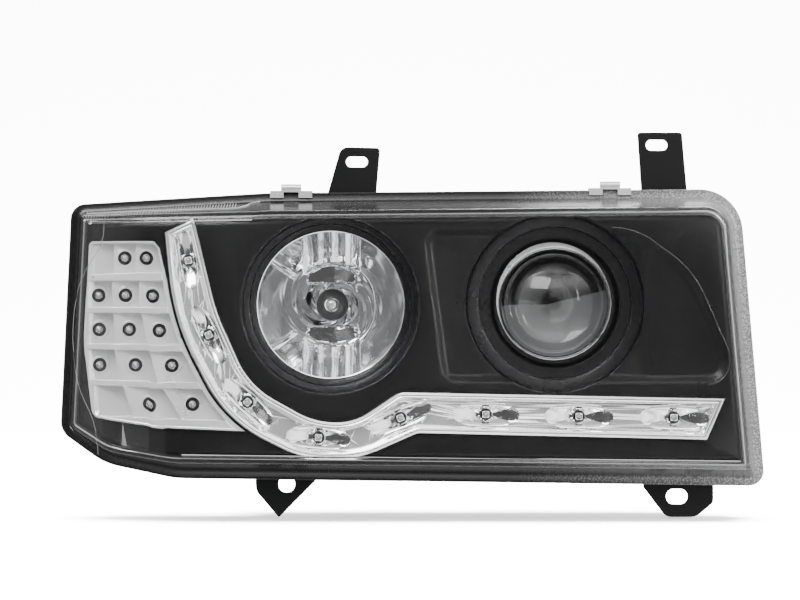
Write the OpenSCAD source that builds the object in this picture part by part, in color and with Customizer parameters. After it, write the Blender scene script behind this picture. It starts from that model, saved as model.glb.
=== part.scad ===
// Left-hand car headlight assembly with twin lamps, a row of daytime LEDs and an LED turn signal.
// X runs inboard, Y runs rearward and Z up. The lamp shines towards -Y.
// The origin is the centre of the stud hole in the lower outer bracket, on its rear face.
// Outlines are lists of corners [x, z, corner radius], counter-clockwise as seen from the front.

/* [Lens] */
// Where the flat part of the lens front lies
lens_front = -58; // [-60:0.5:-56]
// Wall thickness of the clear lens
lens_wall = 2.8; // [2:0.1:3.2]
// Radius of the wrap at the outer end, in plan
wrap_r = 190; // [170:5:240]

/* [Lamps] */
// Radius of the round port in front of the main-beam reflector
main_port_r = 43; // [40:0.5:44]
// Radius of the dipped-beam projector lens
dip_lens_r = 32.5; // [30:0.5:33]
// Radius of the hole that the main bulb looks through
bulb_hole_r = 9.5; // [8.5:0.1:10]

/* [Mounting] */
// Thickness of the bracket sheet
sheet = 2.5; // [2:0.1:3]
// Radius of the stud hole in the lower outer bracket
stud_hole_r = 5; // [4.5:0.1:5.5]
// Height of the slots in the upper brackets
slot_h = 6.5; // [6:0.1:7]
// Length of the slots
slot_l = 13; // [12:0.5:14]

/* [Adjusters] */
// Radius of the ball on each aiming stud
ball_r = 5; // [4.5:0.1:5]
// Radius of the aiming rods
rod_r = 3; // [2.5:0.1:3.2]

/* [Hidden] */
$fn = 48;

// Outline of the lens flange, the widest outline of the lamp
outline = [[-66, 4, 60], [285.5, -0.5, 9], [270, 176.5, 26], [-12, 174, 300], [-128, 167, 9],
    [-134.5, 32, 12], [-108, 13, 40]];
wrap_start = -20;                      // the wrap starts outboard of this X
flange_front = -14;
flange_back = -10;
flange_inset = 5;                      // from the flange edge in to the lens side wall
face_inset = 12;                       // the same at the lens front, which gives the wall its draft
seal_y = -8;                           // the seal fills flange_back to here
shallow_back = 22;                     // rear of the shallow part of the housing
deep_back = 62;                        // rear wall behind the two lamps
wall = 2.6;                            // housing wall
bezel_gap = 12;                        // from the lens front back to the bezel front
bezel_wall = 2.4;
bezel_front = lens_front + bezel_gap;
port_mouth_r = 52;                     // where the funnels start in the bezel front
dip_port_r = 38;

// Lamp axes and the three aiming points, as [x, z]
main_at = [27, 107.5];
dip_at = [159, 108.5];
pivot_at = [93, 48];
level_at = [93, 142];
swivel_at = [212, 48];
ball_y = 14;                           // all three ball centres lie in this plane
frame_y = [4, 8];                      // the carrier plate
running = 0.05;                        // radial clearance of a running fit
ball_gap = 0.3;                        // radial clearance of a ball in its socket

// Main-beam reflector: a parabola of revolution
main_focal = 12;
main_rim_r = 46;
main_rim_y = -25.5;
main_vertex_y = main_rim_y + main_rim_r * main_rim_r / (4 * main_focal);
main_seat_y = 29;                      // where the main bulb's flange rests
cap_r = 36;                            // outside of each rear neck
neck_back = 72;
dip_seat_y = 40;
lens_seat_y = -26;                     // flat back of the projector lens

// Daytime strip: outline and the centres of its lamps
drl_outline = [[10, 17.4, 55], [44.6, 17.4, 58], [78, 32.2, 10], [248, 28.3, 0.4], [258.4, 52.6, 0.4],
    [67.6, 56.3, 12], [41, 38.6, 33], [18, 38.6, 46], [-20.4, 60, 50], [-39.8, 103, 120],
    [-53.1, 157.9, 0.4], [-70.2, 150, 0.4], [-65, 98, 140], [-34.3, 39.5, 80]];
drl_lamps = [[-56.6, 133.6], [-44.6, 89.8], [-21.8, 50.3], [19.9, 29.5], [68.1, 41], [118.2, 43.1],
    [173, 42], [229, 41.4]];

// Turn signal: outline, and its rows of LEDs as [z, first x, spacing, count]
signal_outline = [[-114, 41, 6], [-75.5, 35.3, 300], [0, 32.6, 0.4], [-45, 86, 0.4], [-61, 88, 0.4],
    [-73.5, 141, 3], [-77, 145, 2], [-116, 145, 3], [-119.5, 85, 90]];
signal_rows = [[135, -94.5, 13, 2], [113, -110.5, 16.4, 3], [92.8, -110.2, 18.3, 3],
    [71.8, -109.9, 21.8, 3], [49, -79.5, 25.5, 2]];
// Depths behind the lens front, which these parts follow round the wrap
signal_off = 14;
signal_board_off = 21;
drl_off = 10;
drl_floor_off = 16;
drl_board_off = 22;
panel_t = 2;
board_t = 1.6;
led_r = 2.5;
led_stand = 1.7;                       // the LEDs end this far in front of their curved board

// Lens clips along the top edge as [x, z of the flange edge]
clips = [[3, 174.1], [193, 175.8]];
// Bracket feet as [first x, last x, z of the face they sit on, +1 on top and -1 below]
feet = [[24, 53.3, 170, 1], [213, 239.9, 172.5, 1], [-18.5, 17.5, 7.5, -1], [214, 255.3, 4.5, -1]];
foot_y = 15.5;                         // the feet end here
foot_screw_y = 11.5;
foot_screws = [0.2, 0.8];              // places of the two screws along a foot

// ---- outline helpers ----

function unit(v) = v / norm(v);
function turn_of(a, b) = a.x * b.y - a.y * b.x;
function flat(c) = [c.x, c.y];
function corner(list, i) = list[(i + len(list)) % len(list)];
// Points of a round of radius r at p1, between the straight runs from p0 and to p2
function round_at(p0, p1, p2, r, n) =
    let (a = unit(p0 - p1), b = unit(p2 - p1), half = acos(a * b) / 2,
        c = p1 + unit(a + b) * r / sin(half), s = p1 + a * r / tan(half) - c,
        e = p1 + b * r / tan(half) - c, a0 = atan2(s.y, s.x),
        sweep = (atan2(e.y, e.x) - a0 + 540) % 360 - 180)
    [for (i = [0:n]) c + r * [cos(a0 + sweep * i / n), sin(a0 + sweep * i / n)]];
function rounded(list, n = 6) = [for (i = [0:len(list) - 1])
    let (p0 = flat(corner(list, i - 1)), p1 = flat(list[i]), p2 = flat(corner(list, i + 1)), r = list[i][2])
    each (r < 0.5 ? [p1] : round_at(p0, p1, p2, r, r > 50 ? 2 * n : n))];
// The same outline moved inwards by d
function inset(list, d) = [for (i = [0:len(list) - 1])
    let (p0 = flat(corner(list, i - 1)), p1 = flat(list[i]), p2 = flat(corner(list, i + 1)),
        u = unit(p1 - p0), v = unit(p2 - p1), n1 = [-u.y, u.x], n2 = [-v.y, v.x],
        r = list[i][2], p = p1 + d * (n1 + n2) / (1 + n1 * n2))
    [p.x, p.y, r < 0.5 ? r : max(0.6, turn_of(u, v) > 0 ? r - d : r + d)]];
// Depth of the lens front at x
function face_y(x) = x > wrap_start ? lens_front
    : lens_front + wrap_r - sqrt(wrap_r * wrap_r - pow(x - wrap_start, 2));

// ---- solid helpers ----

// Extrudes a front-view drawing from depth y0 back to y1
module along(y0, y1) {
    translate([0, y1, 0]) rotate([90, 0, 0]) linear_extrude(y1 - y0) children();
}
module slab(list, d, y0, y1) {
    along(y0, y1) polygon(rounded(inset(list, d)));
}
module rod(at, r, y0, y1) {
    translate([at.x, y1, at.y]) rotate([90, 0, 0]) cylinder(r = r, h = y1 - y0);
}
module tube(at, r_out, r_in, y0, y1) {
    difference() {
        rod(at, r_out, y0, y1);
        rod(at, r_in, y0 - 1, y1 + 1);
    }
}
// Turns a profile of [radius, y] points about the line through at
module turned(at, profile) {
    translate([at.x, 0, at.y]) rotate([90, 0, 0])
        rotate_extrude() polygon([for (p = profile) [p.x, -p.y]]);
}
module ball(at, r, y) {
    translate([at.x, y, at.y]) sphere(r = r);
}
// A drafted block: the outline moved in by d0 at y0 and by d1 at y1
module drafted(list, d0, y0, d1, y1) {
    hull() {
        slab(list, d0, y0, y0 + 0.02);
        slab(list, d1, y1 - 0.02, y1);
    }
}
// Everything behind the lens front moved back by off, to depth back
module behind_face(off, back) {
    steps = 14;
    edge = -150;
    curve = [for (i = [0:steps]) let (x = wrap_start + (edge - wrap_start) * i / steps) [x, face_y(x) + off]];
    translate([0, 0, -30]) linear_extrude(240)
        polygon(concat(curve, [[edge, back], [300, back], [300, lens_front + off]]));
}
function draft_at(y, d0) =
    d0 + (face_inset - flange_inset) * (flange_front - y) / (flange_front - lens_front);
module wall_block(d0, off, back) {
    intersection() {
        drafted(outline, draft_at(lens_front, d0), lens_front, draft_at(back, d0), back);
        behind_face(off, back + 1);
    }
}
module slot(at, length, height, y0, y1) {
    r = height / 2;
    for (side = [-1, 1])
        rod([at.x + side * (length / 2 - r), at.y], r, y0, y1);
    translate([at.x - length / 2 + r, y0, at.y - r]) cube([length - height, y1 - y0, height]);
}
// A front-view drawing turned into a sheet between two depths behind the lens front
module layer(off0, off1) {
    intersection() {
        along(lens_front, 30) children();
        difference() {
            behind_face(off0, 30);
            behind_face(off1, 31);
        }
    }
}

// ---- clear lens and casing ----

module lens() color("white", 0.3) {
    difference() {
        union() {
            slab(outline, 0, flange_front, flange_back);
            wall_block(flange_inset, 0, flange_front + 1);
        }
        wall_block(flange_inset + lens_wall, lens_wall, flange_back + 1);
    }
}

module lens_seal() color("dimgray") {
    difference() {
        slab(outline, 1.6, flange_back, seal_y);
        slab(outline, 6.6, flange_back - 1, seal_y + 1);
    }
}

module deep_block(d, y0, y1) {
    front = [[-40, 18, 14], [262, 18, 14], [258, 160, 14], [-36, 160, 14]];
    back = [[-32, 26, 14], [250, 26, 14], [246, 154, 14], [-28, 154, 14]];
    hull() {
        slab(front, d, y0, y0 + 0.02);
        slab(back, d, y1 - 0.02, y1);
    }
}

module housing() color("#1b1b1c") {
    difference() {
        union() {
            slab(outline, 0.8, seal_y, -4);
            drafted(outline, 5, -4, 14, shallow_back);
            deep_block(0, 12, deep_back);
            for (at = [main_at, dip_at])
                rod(at, cap_r, deep_back - 4, neck_back);
            for (f = feet)
                translate([f[0] - 1, 0.5, f[3] > 0 ? f[2] - 14 : f[2]]) cube([f[1] - f[0] + 2, 16, 14]);
            rod(pivot_at, 8, deep_back - 1, deep_back + 4);
            rod(swivel_at, 10, deep_back - 1, deep_back + 2);
            housing_ribs();
        }
        drafted(outline, 7.6, seal_y - 0.02, 16.6, shallow_back - wall);
        deep_block(wall, 12 - wall, deep_back - wall);
        for (at = [main_at, dip_at])
            rod(at, cap_r - 3, deep_back - 10, neck_back + 1);
        rod(pivot_at, 3.5, 40, 70);
        rod(swivel_at, 5 + running, 40, 70);
        rod(level_at, 14.2, 40, 70);
        for (f = feet, along_foot = foot_screws)
            translate([f[0] + (f[1] - f[0]) * along_foot, foot_screw_y, f[2] - 4]) cylinder(r = 1.6, h = 8);
        for (v = vents)
            rod([v[0], v[1]], 4, v[2] - 20, v[2] + 20);
        translate([-104, shallow_back - 6, 52]) cube([22, 12, 14]);
    }
    for (at = bezel_fixings)
        tube(at, 4.2, 1.6, bezel_ear_back, shallow_back - 2);
}

module housing_ribs() {
    for (x = [-100, -78, -56])
        translate([x, 14, 75]) cube([2, 12, 60]);
    for (x = [-20, 84, 100, 205, 230])
        translate([x, deep_back - 2, 34]) cube([2, 4, x == 84 || x == 100 ? 60 : 112]);
    for (z = [74, 84])
        translate([200, deep_back - 2, z]) cube([44, 3.5, 2]);
}

// ---- inner trim ----

module funnel(at, mouth_r, throat_r, depth) {
    front = bezel_front;
    turned(at, [[mouth_r, front], [mouth_r, front + bezel_wall], [throat_r, front + depth + bezel_wall],
        [throat_r, front + depth]]);
}

module bezel() color("#161617") {
    difference() {
        wall_block(flange_inset + lens_wall + 1.2, bezel_gap, seal_y - 1);
        wall_block(flange_inset + lens_wall + 1.2 + bezel_wall, bezel_gap + bezel_wall + 3.2, seal_y);
        for (at = [main_at, dip_at])
            rod(at, port_mouth_r, lens_front, seal_y);
        along(lens_front, seal_y) drl_shape(-0.4);
        along(lens_front, seal_y) signal_shape(-0.4);
        intersection() {
            along(lens_front, bezel_front + 2.6) polygon(rounded(recess_outline));
            translate([60, lens_front, 0]) cube([300, 30, 170]);
        }
    }
    funnel(main_at, port_mouth_r + 0.1, main_port_r, 10);
    funnel(dip_at, port_mouth_r + 0.1, dip_port_r, 8);
    for (at = bezel_fixings)
        tube(at, 5.6, 1.7, bezel_ear_back - 2, bezel_ear_back);
}
// The shallow recess round the projector
recess_outline = [[92, 61, 10], [259, 61, 12], [262, 78, 16], [240, 128, 60], [205, 153, 40], [80, 153, 10]];

bezel_fixings = [[-10, 158.5], [250, 160.5], [267, 24], [-96, 27]];
bezel_ear_back = -9;
module bezel_screws() color("silver") {
    for (at = bezel_fixings)
        screw_along_y(at, 3.4, bezel_ear_back - 4, 12);
}
// A pan-head screw lying along Y, with the front of its head at y
module screw_along_y(at, head_r, y, length) {
    rod(at, head_r, y, y + 2);
    rod(at, 1.5, y + 1, y + length);
}

// ---- turn signal ----

// The panel's outline moved in by d; it keeps the same narrow gap to the daytime strip all the way down
signal_gap = 1.6;
module signal_shape(d) {
    difference() {
        polygon(rounded(inset(signal_outline, d)));
        polygon(rounded(inset(drl_outline, -signal_gap - d)));
    }
}
signal_lamps = [for (row = signal_rows, i = [0:row[3] - 1]) [row[1] + i * row[2], row[0]]];
signal_hole_r = 4;
module indicator_reflector() color("silver") {
    difference() {
        layer(signal_off, signal_off + panel_t) signal_shape(0);
        for (at = signal_lamps)
            rod(at, signal_hole_r, lens_front, 0);
    }
    layer(signal_off - 3, signal_off + 0.5) difference() {
        signal_shape(0);
        signal_shape(1.6);
    }
}
module indicator_board() color("darkgreen") {
    layer(signal_board_off, signal_board_off + board_t) signal_shape(4);
}
module indicator_leds() color("#f5f5ee") {
    for (at = signal_lamps)
        led(at, face_y(at.x) + signal_off - 0.5, face_y(at.x) + signal_board_off - led_stand);
}
// A round LED with its collar: it stands on depth back, and its dome starts at depth front
module led(at, front, back) {
    rod(at, led_r, front, back);
    rod(at, led_r + 0.5, back - 1.5, back);
    ball(at, led_r, front);
}

// ---- daytime lamps ----

module drl_shape(d) {
    polygon(rounded(inset(drl_outline, d)));
}
module drl_reflector() color("gainsboro") {
    layer(drl_off, drl_board_off) difference() {
        drl_shape(0);
        drl_shape(2.6);
    }
    layer(drl_floor_off, drl_floor_off + panel_t) difference() {
        drl_shape(2.5);
        for (at = drl_lamps)
            translate(at) circle(r = led_r + 0.6);
    }
}
module drl_board() color("darkgreen") {
    layer(drl_board_off, drl_board_off + board_t) drl_shape(1);
}
module drl_leds() color("#f8f8f0") {
    for (at = drl_lamps)
        led(at, face_y(at.x) + drl_floor_off, face_y(at.x) + drl_board_off - led_stand);
}

// Leads from the connector to the two LED boards, in clips on the housing wall
module led_leads() color("black") {
    for (dz = [0, 4])
        lead([[-93, 18.9, 57 + dz], [-93, 10, 57 + dz], [-70, 6, 38 + dz], [-45, 2, 24 + dz],
            [-20, -6, 20 + dz], [6, -22, 24 + dz], [12, -33.7, 25 + dz]]);
    lead([[-97, 18.9, 60], [-97, 6, 64], [-92, -8, 68], [-88, -21.5, 70]]);
}
lead_r = 1.1;
lead_sides = 8;
function lead_ring(p, along_dir) =
    let (w = unit(along_dir), u = unit(cross(w, abs(w.z) > 0.9 ? [1, 0, 0] : [0, 0, 1])), v = cross(w, u))
    [for (k = [0:lead_sides - 1]) let (a = 360 * k / lead_sides) p + lead_r * (u * cos(a) + v * sin(a))];
module lead(route) {
    n = len(route);
    rings = [for (i = [0:n - 1]) each lead_ring(route[i], route[min(i + 1, n - 1)] - route[max(i - 1, 0)])];
    sides = [for (i = [0:n - 2], k = [0:lead_sides - 1], flip = [0, 1])
        let (a = i * lead_sides + k, b = i * lead_sides + (k + 1) % lead_sides)
        flip ? [a, b + lead_sides, b] : [a, a + lead_sides, b + lead_sides]];
    ends = [[for (k = [0:lead_sides - 1]) k], [for (k = [lead_sides - 1:-1:0]) (n - 1) * lead_sides + k]];
    polyhedron(rings, concat(sides, ends));
}

// ---- brackets and fixings ----

module bracket_screws() color("silver") {
    for (f = feet, along_foot = foot_screws)
        translate([f[0] + (f[1] - f[0]) * along_foot, foot_screw_y, f[2]]) mirror([0, 0, f[3] > 0 ? 0 : 1]) {
            translate([0, 0, sheet]) cylinder(r = 3.2, h = 2.2);
            translate([0, 0, -3.5]) cylinder(r = 1.5, h = sheet + 4);
        }
}
module foot(f) {
    difference() {
        translate([f[0], -sheet, f[3] > 0 ? f[2] : f[2] - sheet]) cube([f[1] - f[0], foot_y + sheet, sheet]);
        for (along_foot = foot_screws)
            translate([f[0] + (f[1] - f[0]) * along_foot, foot_screw_y, f[2] - 10]) cylinder(r = 1.7, h = 20);
    }
}
upper_outer = [[23.4, 170, 0.4], [53.3, 170, 0.4], [56, 201.4, 2], [32.5, 201.8, 5]];
upper_inner = [[212.6, 172.5, 0.4], [239.9, 172.5, 0.4], [236.6, 210.6, 1.5], [210, 210.6, 1.5]];
lower_outer = [[-18.9, 7.5, 0.4], [-18.4, -4, 8], [-4.7, -20, 0.8], [17.7, 2.5, 3], [17.7, 7.5, 0.4]];
lower_inner = [[213.5, 4.5, 0.4], [213.5, -1.8, 2], [227, -19.6, 6], [245, -19.6, 8], [255.5, -11, 4],
    [255.5, 4.5, 0.4]];

module upper_outer_bracket() color("#101010") {
    difference() {
        along(-sheet, 0) polygon(rounded(upper_outer, 4));
        slot([42, 193], slot_l, slot_h, -5, 5);
    }
    foot(feet[0]);
    along(-0.5, 7.5) polygon([[24, 171], [26.4, 171], [34.4, 198], [32, 198]]);
}
module upper_inner_bracket() color("#101010") {
    difference() {
        along(-sheet, 0) polygon(rounded(upper_inner, 4));
        slot([221.5, 203], slot_l, slot_h, -5, 5);
    }
    foot(feet[1]);
    along(-0.5, 7.5) polygon([[237.2, 173.5], [239.7, 173.5], [236.9, 208], [234.4, 208]]);
}
module lower_outer_bracket() color("#101010") {
    difference() {
        along(-sheet, 0) polygon(rounded(lower_outer, 4));
        rod([0, 0], stud_hole_r, -5, 5);
    }
    foot(feet[2]);
    for (x = [-18, 14.2])
        along(-0.5, 7.5) polygon([[x, 6], [x + 2.2, 6], [x + 2.2, 1], [x, 1]]);
}
module lower_inner_bracket() color("#101010") {
    difference() {
        along(-sheet, 0) polygon(rounded(lower_inner, 4));
        slot([233.6, -7.4], slot_l, 9.2, -5, 5);
    }
    foot(feet[3]);
    along(-0.5, 7.5) polygon([[214, 3], [216.4, 3], [216.4, -3], [214, -1]]);
    along(-0.5, 7.5) polygon([[253, 3], [255.3, 3], [255.3, -9], [253, -11]]);
    along(-0.5, 6) polygon([[229, -19.4], [243, -19.4], [243, -16.4], [229, -16.4]]);
}

// ---- rear of the casing ----

module connector_socket() color("#202020") {
    translate([-104.5, shallow_back - 3, 51.5]) difference() {
        union() {
            translate([0.6, 0, 0.6]) cube([21.8, 22, 13.8]);
            translate([-2.5, 3, -2.5]) cube([28, 2, 20]);
        }
        translate([2.6, 8, 2.6]) cube([17.8, 20, 9.8]);
    }
}
module connector_pins() color("gold") {
    for (i = [0:3])
        translate([-99.5 + i * 4, shallow_back - 3.5, 58]) cube([0.8, 14, 2.4]);
}
// Breathers as [x, z, y of the wall's rear face]
vents = [[-88, 105, shallow_back], [219, 128, deep_back]];
module vent_caps() color("#222222") {
    for (v = vents)
        difference() {
            union() {
                rod([v[0], v[1]], 4, v[2] - wall, v[2]);
                rod([v[0], v[1]], 7, v[2], v[2] + 7);
            }
            rod([v[0], v[1]], 2, v[2] - wall - 1, v[2] + 4);
        }
}
module leveller_motor() color("#2a2a2a") {
    at = level_at;
    difference() {
        union() {
            rod(at, 14, deep_back - wall - 3, deep_back + 2);
            rod(at, 20, deep_back + 1.5, deep_back + 22);
            translate([at.x - 17, deep_back + 1.5, at.y - 44]) cube([34, 18, 44]);
            rod(at, 10, deep_back + 21, deep_back + 24);
            translate([at.x - 8, deep_back + 4, at.y - 56]) cube([16, 12, 13]);
        }
        rod(at, rod_r + running, deep_back - 10, deep_back + 19);
        translate([at.x - 6, deep_back + 6, at.y - 57]) cube([12, 8, 10]);
        rod(at, 4 + running, deep_back + 20, deep_back + 30);
    }
}
module leveller_seal() color("black") {
    tube(level_at, 17, 14.1, deep_back, deep_back + 1.5);
}
module pivot_stud() color("silver") {
    rod(pivot_at, 3.5, ball_y + 20, deep_back + 8);
    rod(pivot_at, 2.4, ball_y + 3, ball_y + 20.5);
    ball(pivot_at, ball_r, ball_y);
    rod(pivot_at, 6, deep_back + 4, deep_back + 7);
}

// ---- aiming parts ----

trunnion_r = 3;
module pivot_bush() color("ivory") {
    difference() {
        union() {
            ball(pivot_at, 8.4, ball_y);
            translate([pivot_at.x - 12.5, ball_y, pivot_at.y]) rotate([0, 90, 0])
                cylinder(r = trunnion_r, h = 25);
        }
        ball(pivot_at, ball_r + ball_gap, ball_y);
        rod(pivot_at, 4.4, ball_y, ball_y + 12);
    }
}
module ball_socket(at) {
    difference() {
        union() {
            rod(at, 8, frame_y[1], ball_y + 5.5);
            rod(at, 4, frame_y[0] - 1, frame_y[1] + 1);
        }
        ball(at, ball_r + ball_gap, ball_y);
        rod(at, 4.4, ball_y, ball_y + 8);
    }
}
module leveller_ball_socket() color("ivory") ball_socket(level_at);
module adjuster_ball_socket() color("ivory") ball_socket(swivel_at);
module aiming_rod(at, back) {
    ball(at, ball_r, ball_y);
    rod(at, 2.4, ball_y + 3, ball_y + 10);
    rod(at, rod_r, ball_y + 9.5, back);
}
module leveller_rod() color("silver") aiming_rod(level_at, deep_back + 12);
module adjuster_rod() color("silver") aiming_rod(swivel_at, deep_back - 2);
module leveller_knob() color("#2a2a2a") {
    rod(level_at, 4, deep_back + 20.5, deep_back + 25);
    difference() {
        rod(level_at, 8, deep_back + 24.4, deep_back + 30);
        for (a = [0:30:330])
            rod(level_at + 8.6 * [cos(a), sin(a)], 1.2, deep_back + 20, deep_back + 31);
    }
}
module adjuster_knob() color("#2a2a2a") {
    difference() {
        union() {
            rod(swivel_at, 5, deep_back - 12, deep_back + 2);
            rod(swivel_at, 6.2, deep_back - 6, deep_back - wall - 0.3);
            difference() {
                rod(swivel_at, 9.5, deep_back + 2.3, deep_back + 10);
                for (a = [0:30:330])
                    rod(swivel_at + 10 * [cos(a), sin(a)], 1.3, deep_back, deep_back + 11);
            }
            rod(swivel_at, 5, deep_back + 1, deep_back + 3);
        }
        rod(swivel_at, rod_r + running, deep_back - 13, deep_back + 6);
    }
}

lug_r = 51.5;                            // the main reflector's fixing lugs lie at this radius
main_lugs = [0, 180, 270];
dip_lug_r = 43;
dip_lugs = [45, 135, 225, 315];
function around(at, r, a) = at + r * [cos(a), sin(a)];

module carrier_frame() color("#262626") {
    difference() {
        union() {
            along(frame_y[0], frame_y[1])
                polygon(rounded([[-28, 84, 12], [40, 52, 20], [70, 39, 12], [222, 39, 10], [222, 90, 14],
                    [205, 150, 20], [130, 152, 14], [50, 152, 20], [-28, 140, 16]]));
            for (a = main_lugs)
                rod(around(main_at, lug_r, a), 3.4, main_rim_y + 3, frame_y[1]);
            for (side = [-1, 1])
                translate([pivot_at.x + side * 10.4 - 1.6, frame_y[1] - 1, pivot_at.y - 6])
                    cube([3.2, 13, 12]);
        }
        rod(main_at, 31, 0, 20);
        rod(dip_at, 36.4, 0, 20);
        for (at = [level_at, swivel_at])
            rod(at, 4, 0, 20);
        for (a = main_lugs)
            rod(around(main_at, lug_r, a), 1.6, main_rim_y, 0);
        for (a = dip_lugs)
            rod(around(dip_at, dip_lug_r, a), 1.6, 0, 20);
        translate([pivot_at.x - 20, ball_y, pivot_at.y]) rotate([0, 90, 0])
            cylinder(r = trunnion_r + running, h = 40);
        rod(pivot_at, 8.8, 3, 20);
    }
}

// ---- main beam ----

function parabola(y) = sqrt(4 * main_focal * (main_vertex_y - y));
module main_reflector() color("gainsboro") {
    steps = 10;
    y_hole = main_vertex_y - bulb_hole_r * bulb_hole_r / (4 * main_focal);
    ys = [for (i = [0:steps]) main_rim_y + (y_hole - main_rim_y) * i / steps];
    turned(main_at, concat(
        [for (y = ys) [parabola(y), y]],
        [[bulb_hole_r, main_seat_y], [bulb_hole_r + 2.2, main_seat_y], [bulb_hole_r + 2.2, y_hole + 3]],
        [for (i = [steps - 1:-1:0]) [parabola(ys[i]) + 2.2, ys[i] + 1.4]],
        [[main_rim_r + 2.4, main_rim_y + 3], [main_rim_r + 2.4, main_rim_y]]));
    for (a = main_lugs)
        difference() {
            union() {
                rod(around(main_at, lug_r, a), 4.5, main_rim_y, main_rim_y + 3);
                translate([main_at.x, 0, main_at.y]) rotate([0, -a, 0])
                    translate([main_rim_r + 1, main_rim_y, -4]) cube([4, 3, 8]);
            }
            rod(around(main_at, lug_r, a), 1.7, main_rim_y - 1, main_rim_y + 5);
        }
    clip_mount(main_at, main_seat_y);
}
// Block that holds a bulb clip's cross wire, and the rest that its crossbar closes on
module clip_mount(at, seat) {
    y = seat + 2.6;
    top = at.y + clip_hinge_z;
    difference() {
        translate([at.x - 6, seat - 4, at.y + 9]) cube([12, 9, clip_hinge_z - 6]);
        rod(at, 11.4, seat, seat + 10);
        translate([at.x - 10, y, top]) rotate([0, 90, 0]) cylinder(r = wire_r + running, h = 20);
    }
    translate([at.x - 3, seat - 4, at.y + clip_hinge_z - clip_drop - 2]) cube([6, 5.6, 5]);
}
module main_reflector_screws() color("silver") {
    for (a = main_lugs)
        screw_along_y(around(main_at, lug_r, a), 3.2, main_rim_y - 2, 10);
}
module bulb_glass(at, seat, length) {
    rod(at, 4.4, seat - length + 4.4, seat);
    ball(at, 4.4, seat - length + 4.4);
}
module bulb_base(at, seat) {
    difference() {
        union() {
            rod(at, 11.2, seat, seat + 1.6);
            rod(at, 5.6, seat + 1.5, seat + 9);
            rod(at, 7, seat - 3, seat + 0.1);
        }
        rod(at, 4.4 + running, seat - 5, seat + 0.01);
    }
}
module bulb_terminal(at, seat) {
    translate([at.x - 3.1, seat + 9, at.y - 0.4]) cube([6.2, 5, 0.8]);
}
module main_bulb_glass() color("white", 0.4) bulb_glass(main_at, main_seat_y, 36);
module main_bulb_base() color("silver") bulb_base(main_at, main_seat_y);
module main_bulb_terminal() color("silver") bulb_terminal(main_at, main_seat_y);

// ---- dipped beam projector ----

module projector_lens() color("white", 0.4) {
    dome = 19;
    rim = lens_seat_y - 3;
    r = dip_lens_r - 1.4;
    big = (r * r + dome * dome) / (2 * dome);
    steps = 8;
    arc = [for (i = [0:steps]) let (a = asin(r / big) * i / steps)
        [big * sin(a), rim - dome + big * (1 - cos(a))]];
    turned(dip_at, concat(arc, [[dip_lens_r, rim], [dip_lens_r, lens_seat_y], [0, lens_seat_y]]));
}
module projector_lens_ring() color("silver") {
    turned(dip_at, [[31.4, lens_seat_y - 4.4], [35.6, lens_seat_y - 4.4], [35.6, lens_seat_y + 6],
        [34.4, lens_seat_y + 6], [34.4, lens_seat_y - 3.2], [31.4, lens_seat_y - 3.2]]);
}
module projector_barrel() color("silver") {
    turned(dip_at, [[31, lens_seat_y], [34.2, lens_seat_y], [34.2, frame_y[0] - 3], [38.4, frame_y[0] - 3],
        [38.4, frame_y[0]], [31, frame_y[0]]]);
    for (a = dip_lugs)
        difference() {
            rod(around(dip_at, dip_lug_r - 1, a), 5, frame_y[0] - 3, frame_y[0]);
            rod(around(dip_at, dip_lug_r, a), 1.7, frame_y[0] - 4, frame_y[0] + 1);
            rod(dip_at, 33, frame_y[0] - 4, frame_y[0] + 1);
        }
}
module cutoff_shield() color("dimgray") {
    difference() {
        rod(dip_at, 30.6, frame_y[0], frame_y[0] + 1.4);
        translate([dip_at.x - 22, 0, dip_at.y]) cube([22, 20, 20]);
        along(0, 20) polygon([[dip_at.x - 0.1, dip_at.y], [dip_at.x + 20, dip_at.y + 5],
            [dip_at.x + 20, dip_at.y + 20], [dip_at.x - 0.1, dip_at.y + 20]]);
    }
}
module projector_reflector() color("silver") {
    steps = 8;
    y0 = frame_y[0] + 1.4;
    depth = dip_seat_y - y0;
    bowl = [for (i = [0:steps - 1]) let (a = 78 * i / steps) [33 * cos(a), y0 + (depth - 6) * sin(a)]];
    turned(dip_at, concat(bowl, [[8, dip_seat_y - 7], [8, dip_seat_y], [10.4, dip_seat_y]],
        [for (i = [steps - 1:-1:0]) [bowl[i].x + 2.2, bowl[i].y + (i == 0 ? 0 : 1)]]));
    clip_mount(dip_at, dip_seat_y);
}
module projector_screws() color("silver") {
    for (a = dip_lugs)
        screw_along_y(around(dip_at, dip_lug_r, a), 3, frame_y[0] - 5, 8);
}
module dip_bulb_glass() color("white", 0.4) bulb_glass(dip_at, dip_seat_y, 30);
module dip_bulb_base() color("silver") bulb_base(dip_at, dip_seat_y);
module dip_bulb_terminal() color("silver") bulb_terminal(dip_at, dip_seat_y);

// ---- parts that open ----

wire_r = 0.8;
clip_hinge_z = 16;                     // the cross wire lies this far above the bulb
clip_drop = 31;                        // from the cross wire down to the crossbar
// A wire bail that hangs from a cross wire above the bulb and presses on its flange
module bulb_clip(at, seat) {
    y = seat + 2.6;
    top = at.y + clip_hinge_z;
    for (side = [-1, 1])
        translate([at.x + side * 8, y, top - clip_drop]) cylinder(r = wire_r, h = clip_drop);
    for (z = [top, top - clip_drop])
        translate([at.x - 8 - wire_r, y, z]) rotate([0, 90, 0])
            cylinder(r = wire_r, h = 16 + 2 * wire_r);
}
module main_bulb_clip() color("silver") bulb_clip(main_at, main_seat_y);
module dip_bulb_clip() color("silver") bulb_clip(dip_at, dip_seat_y);

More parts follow.
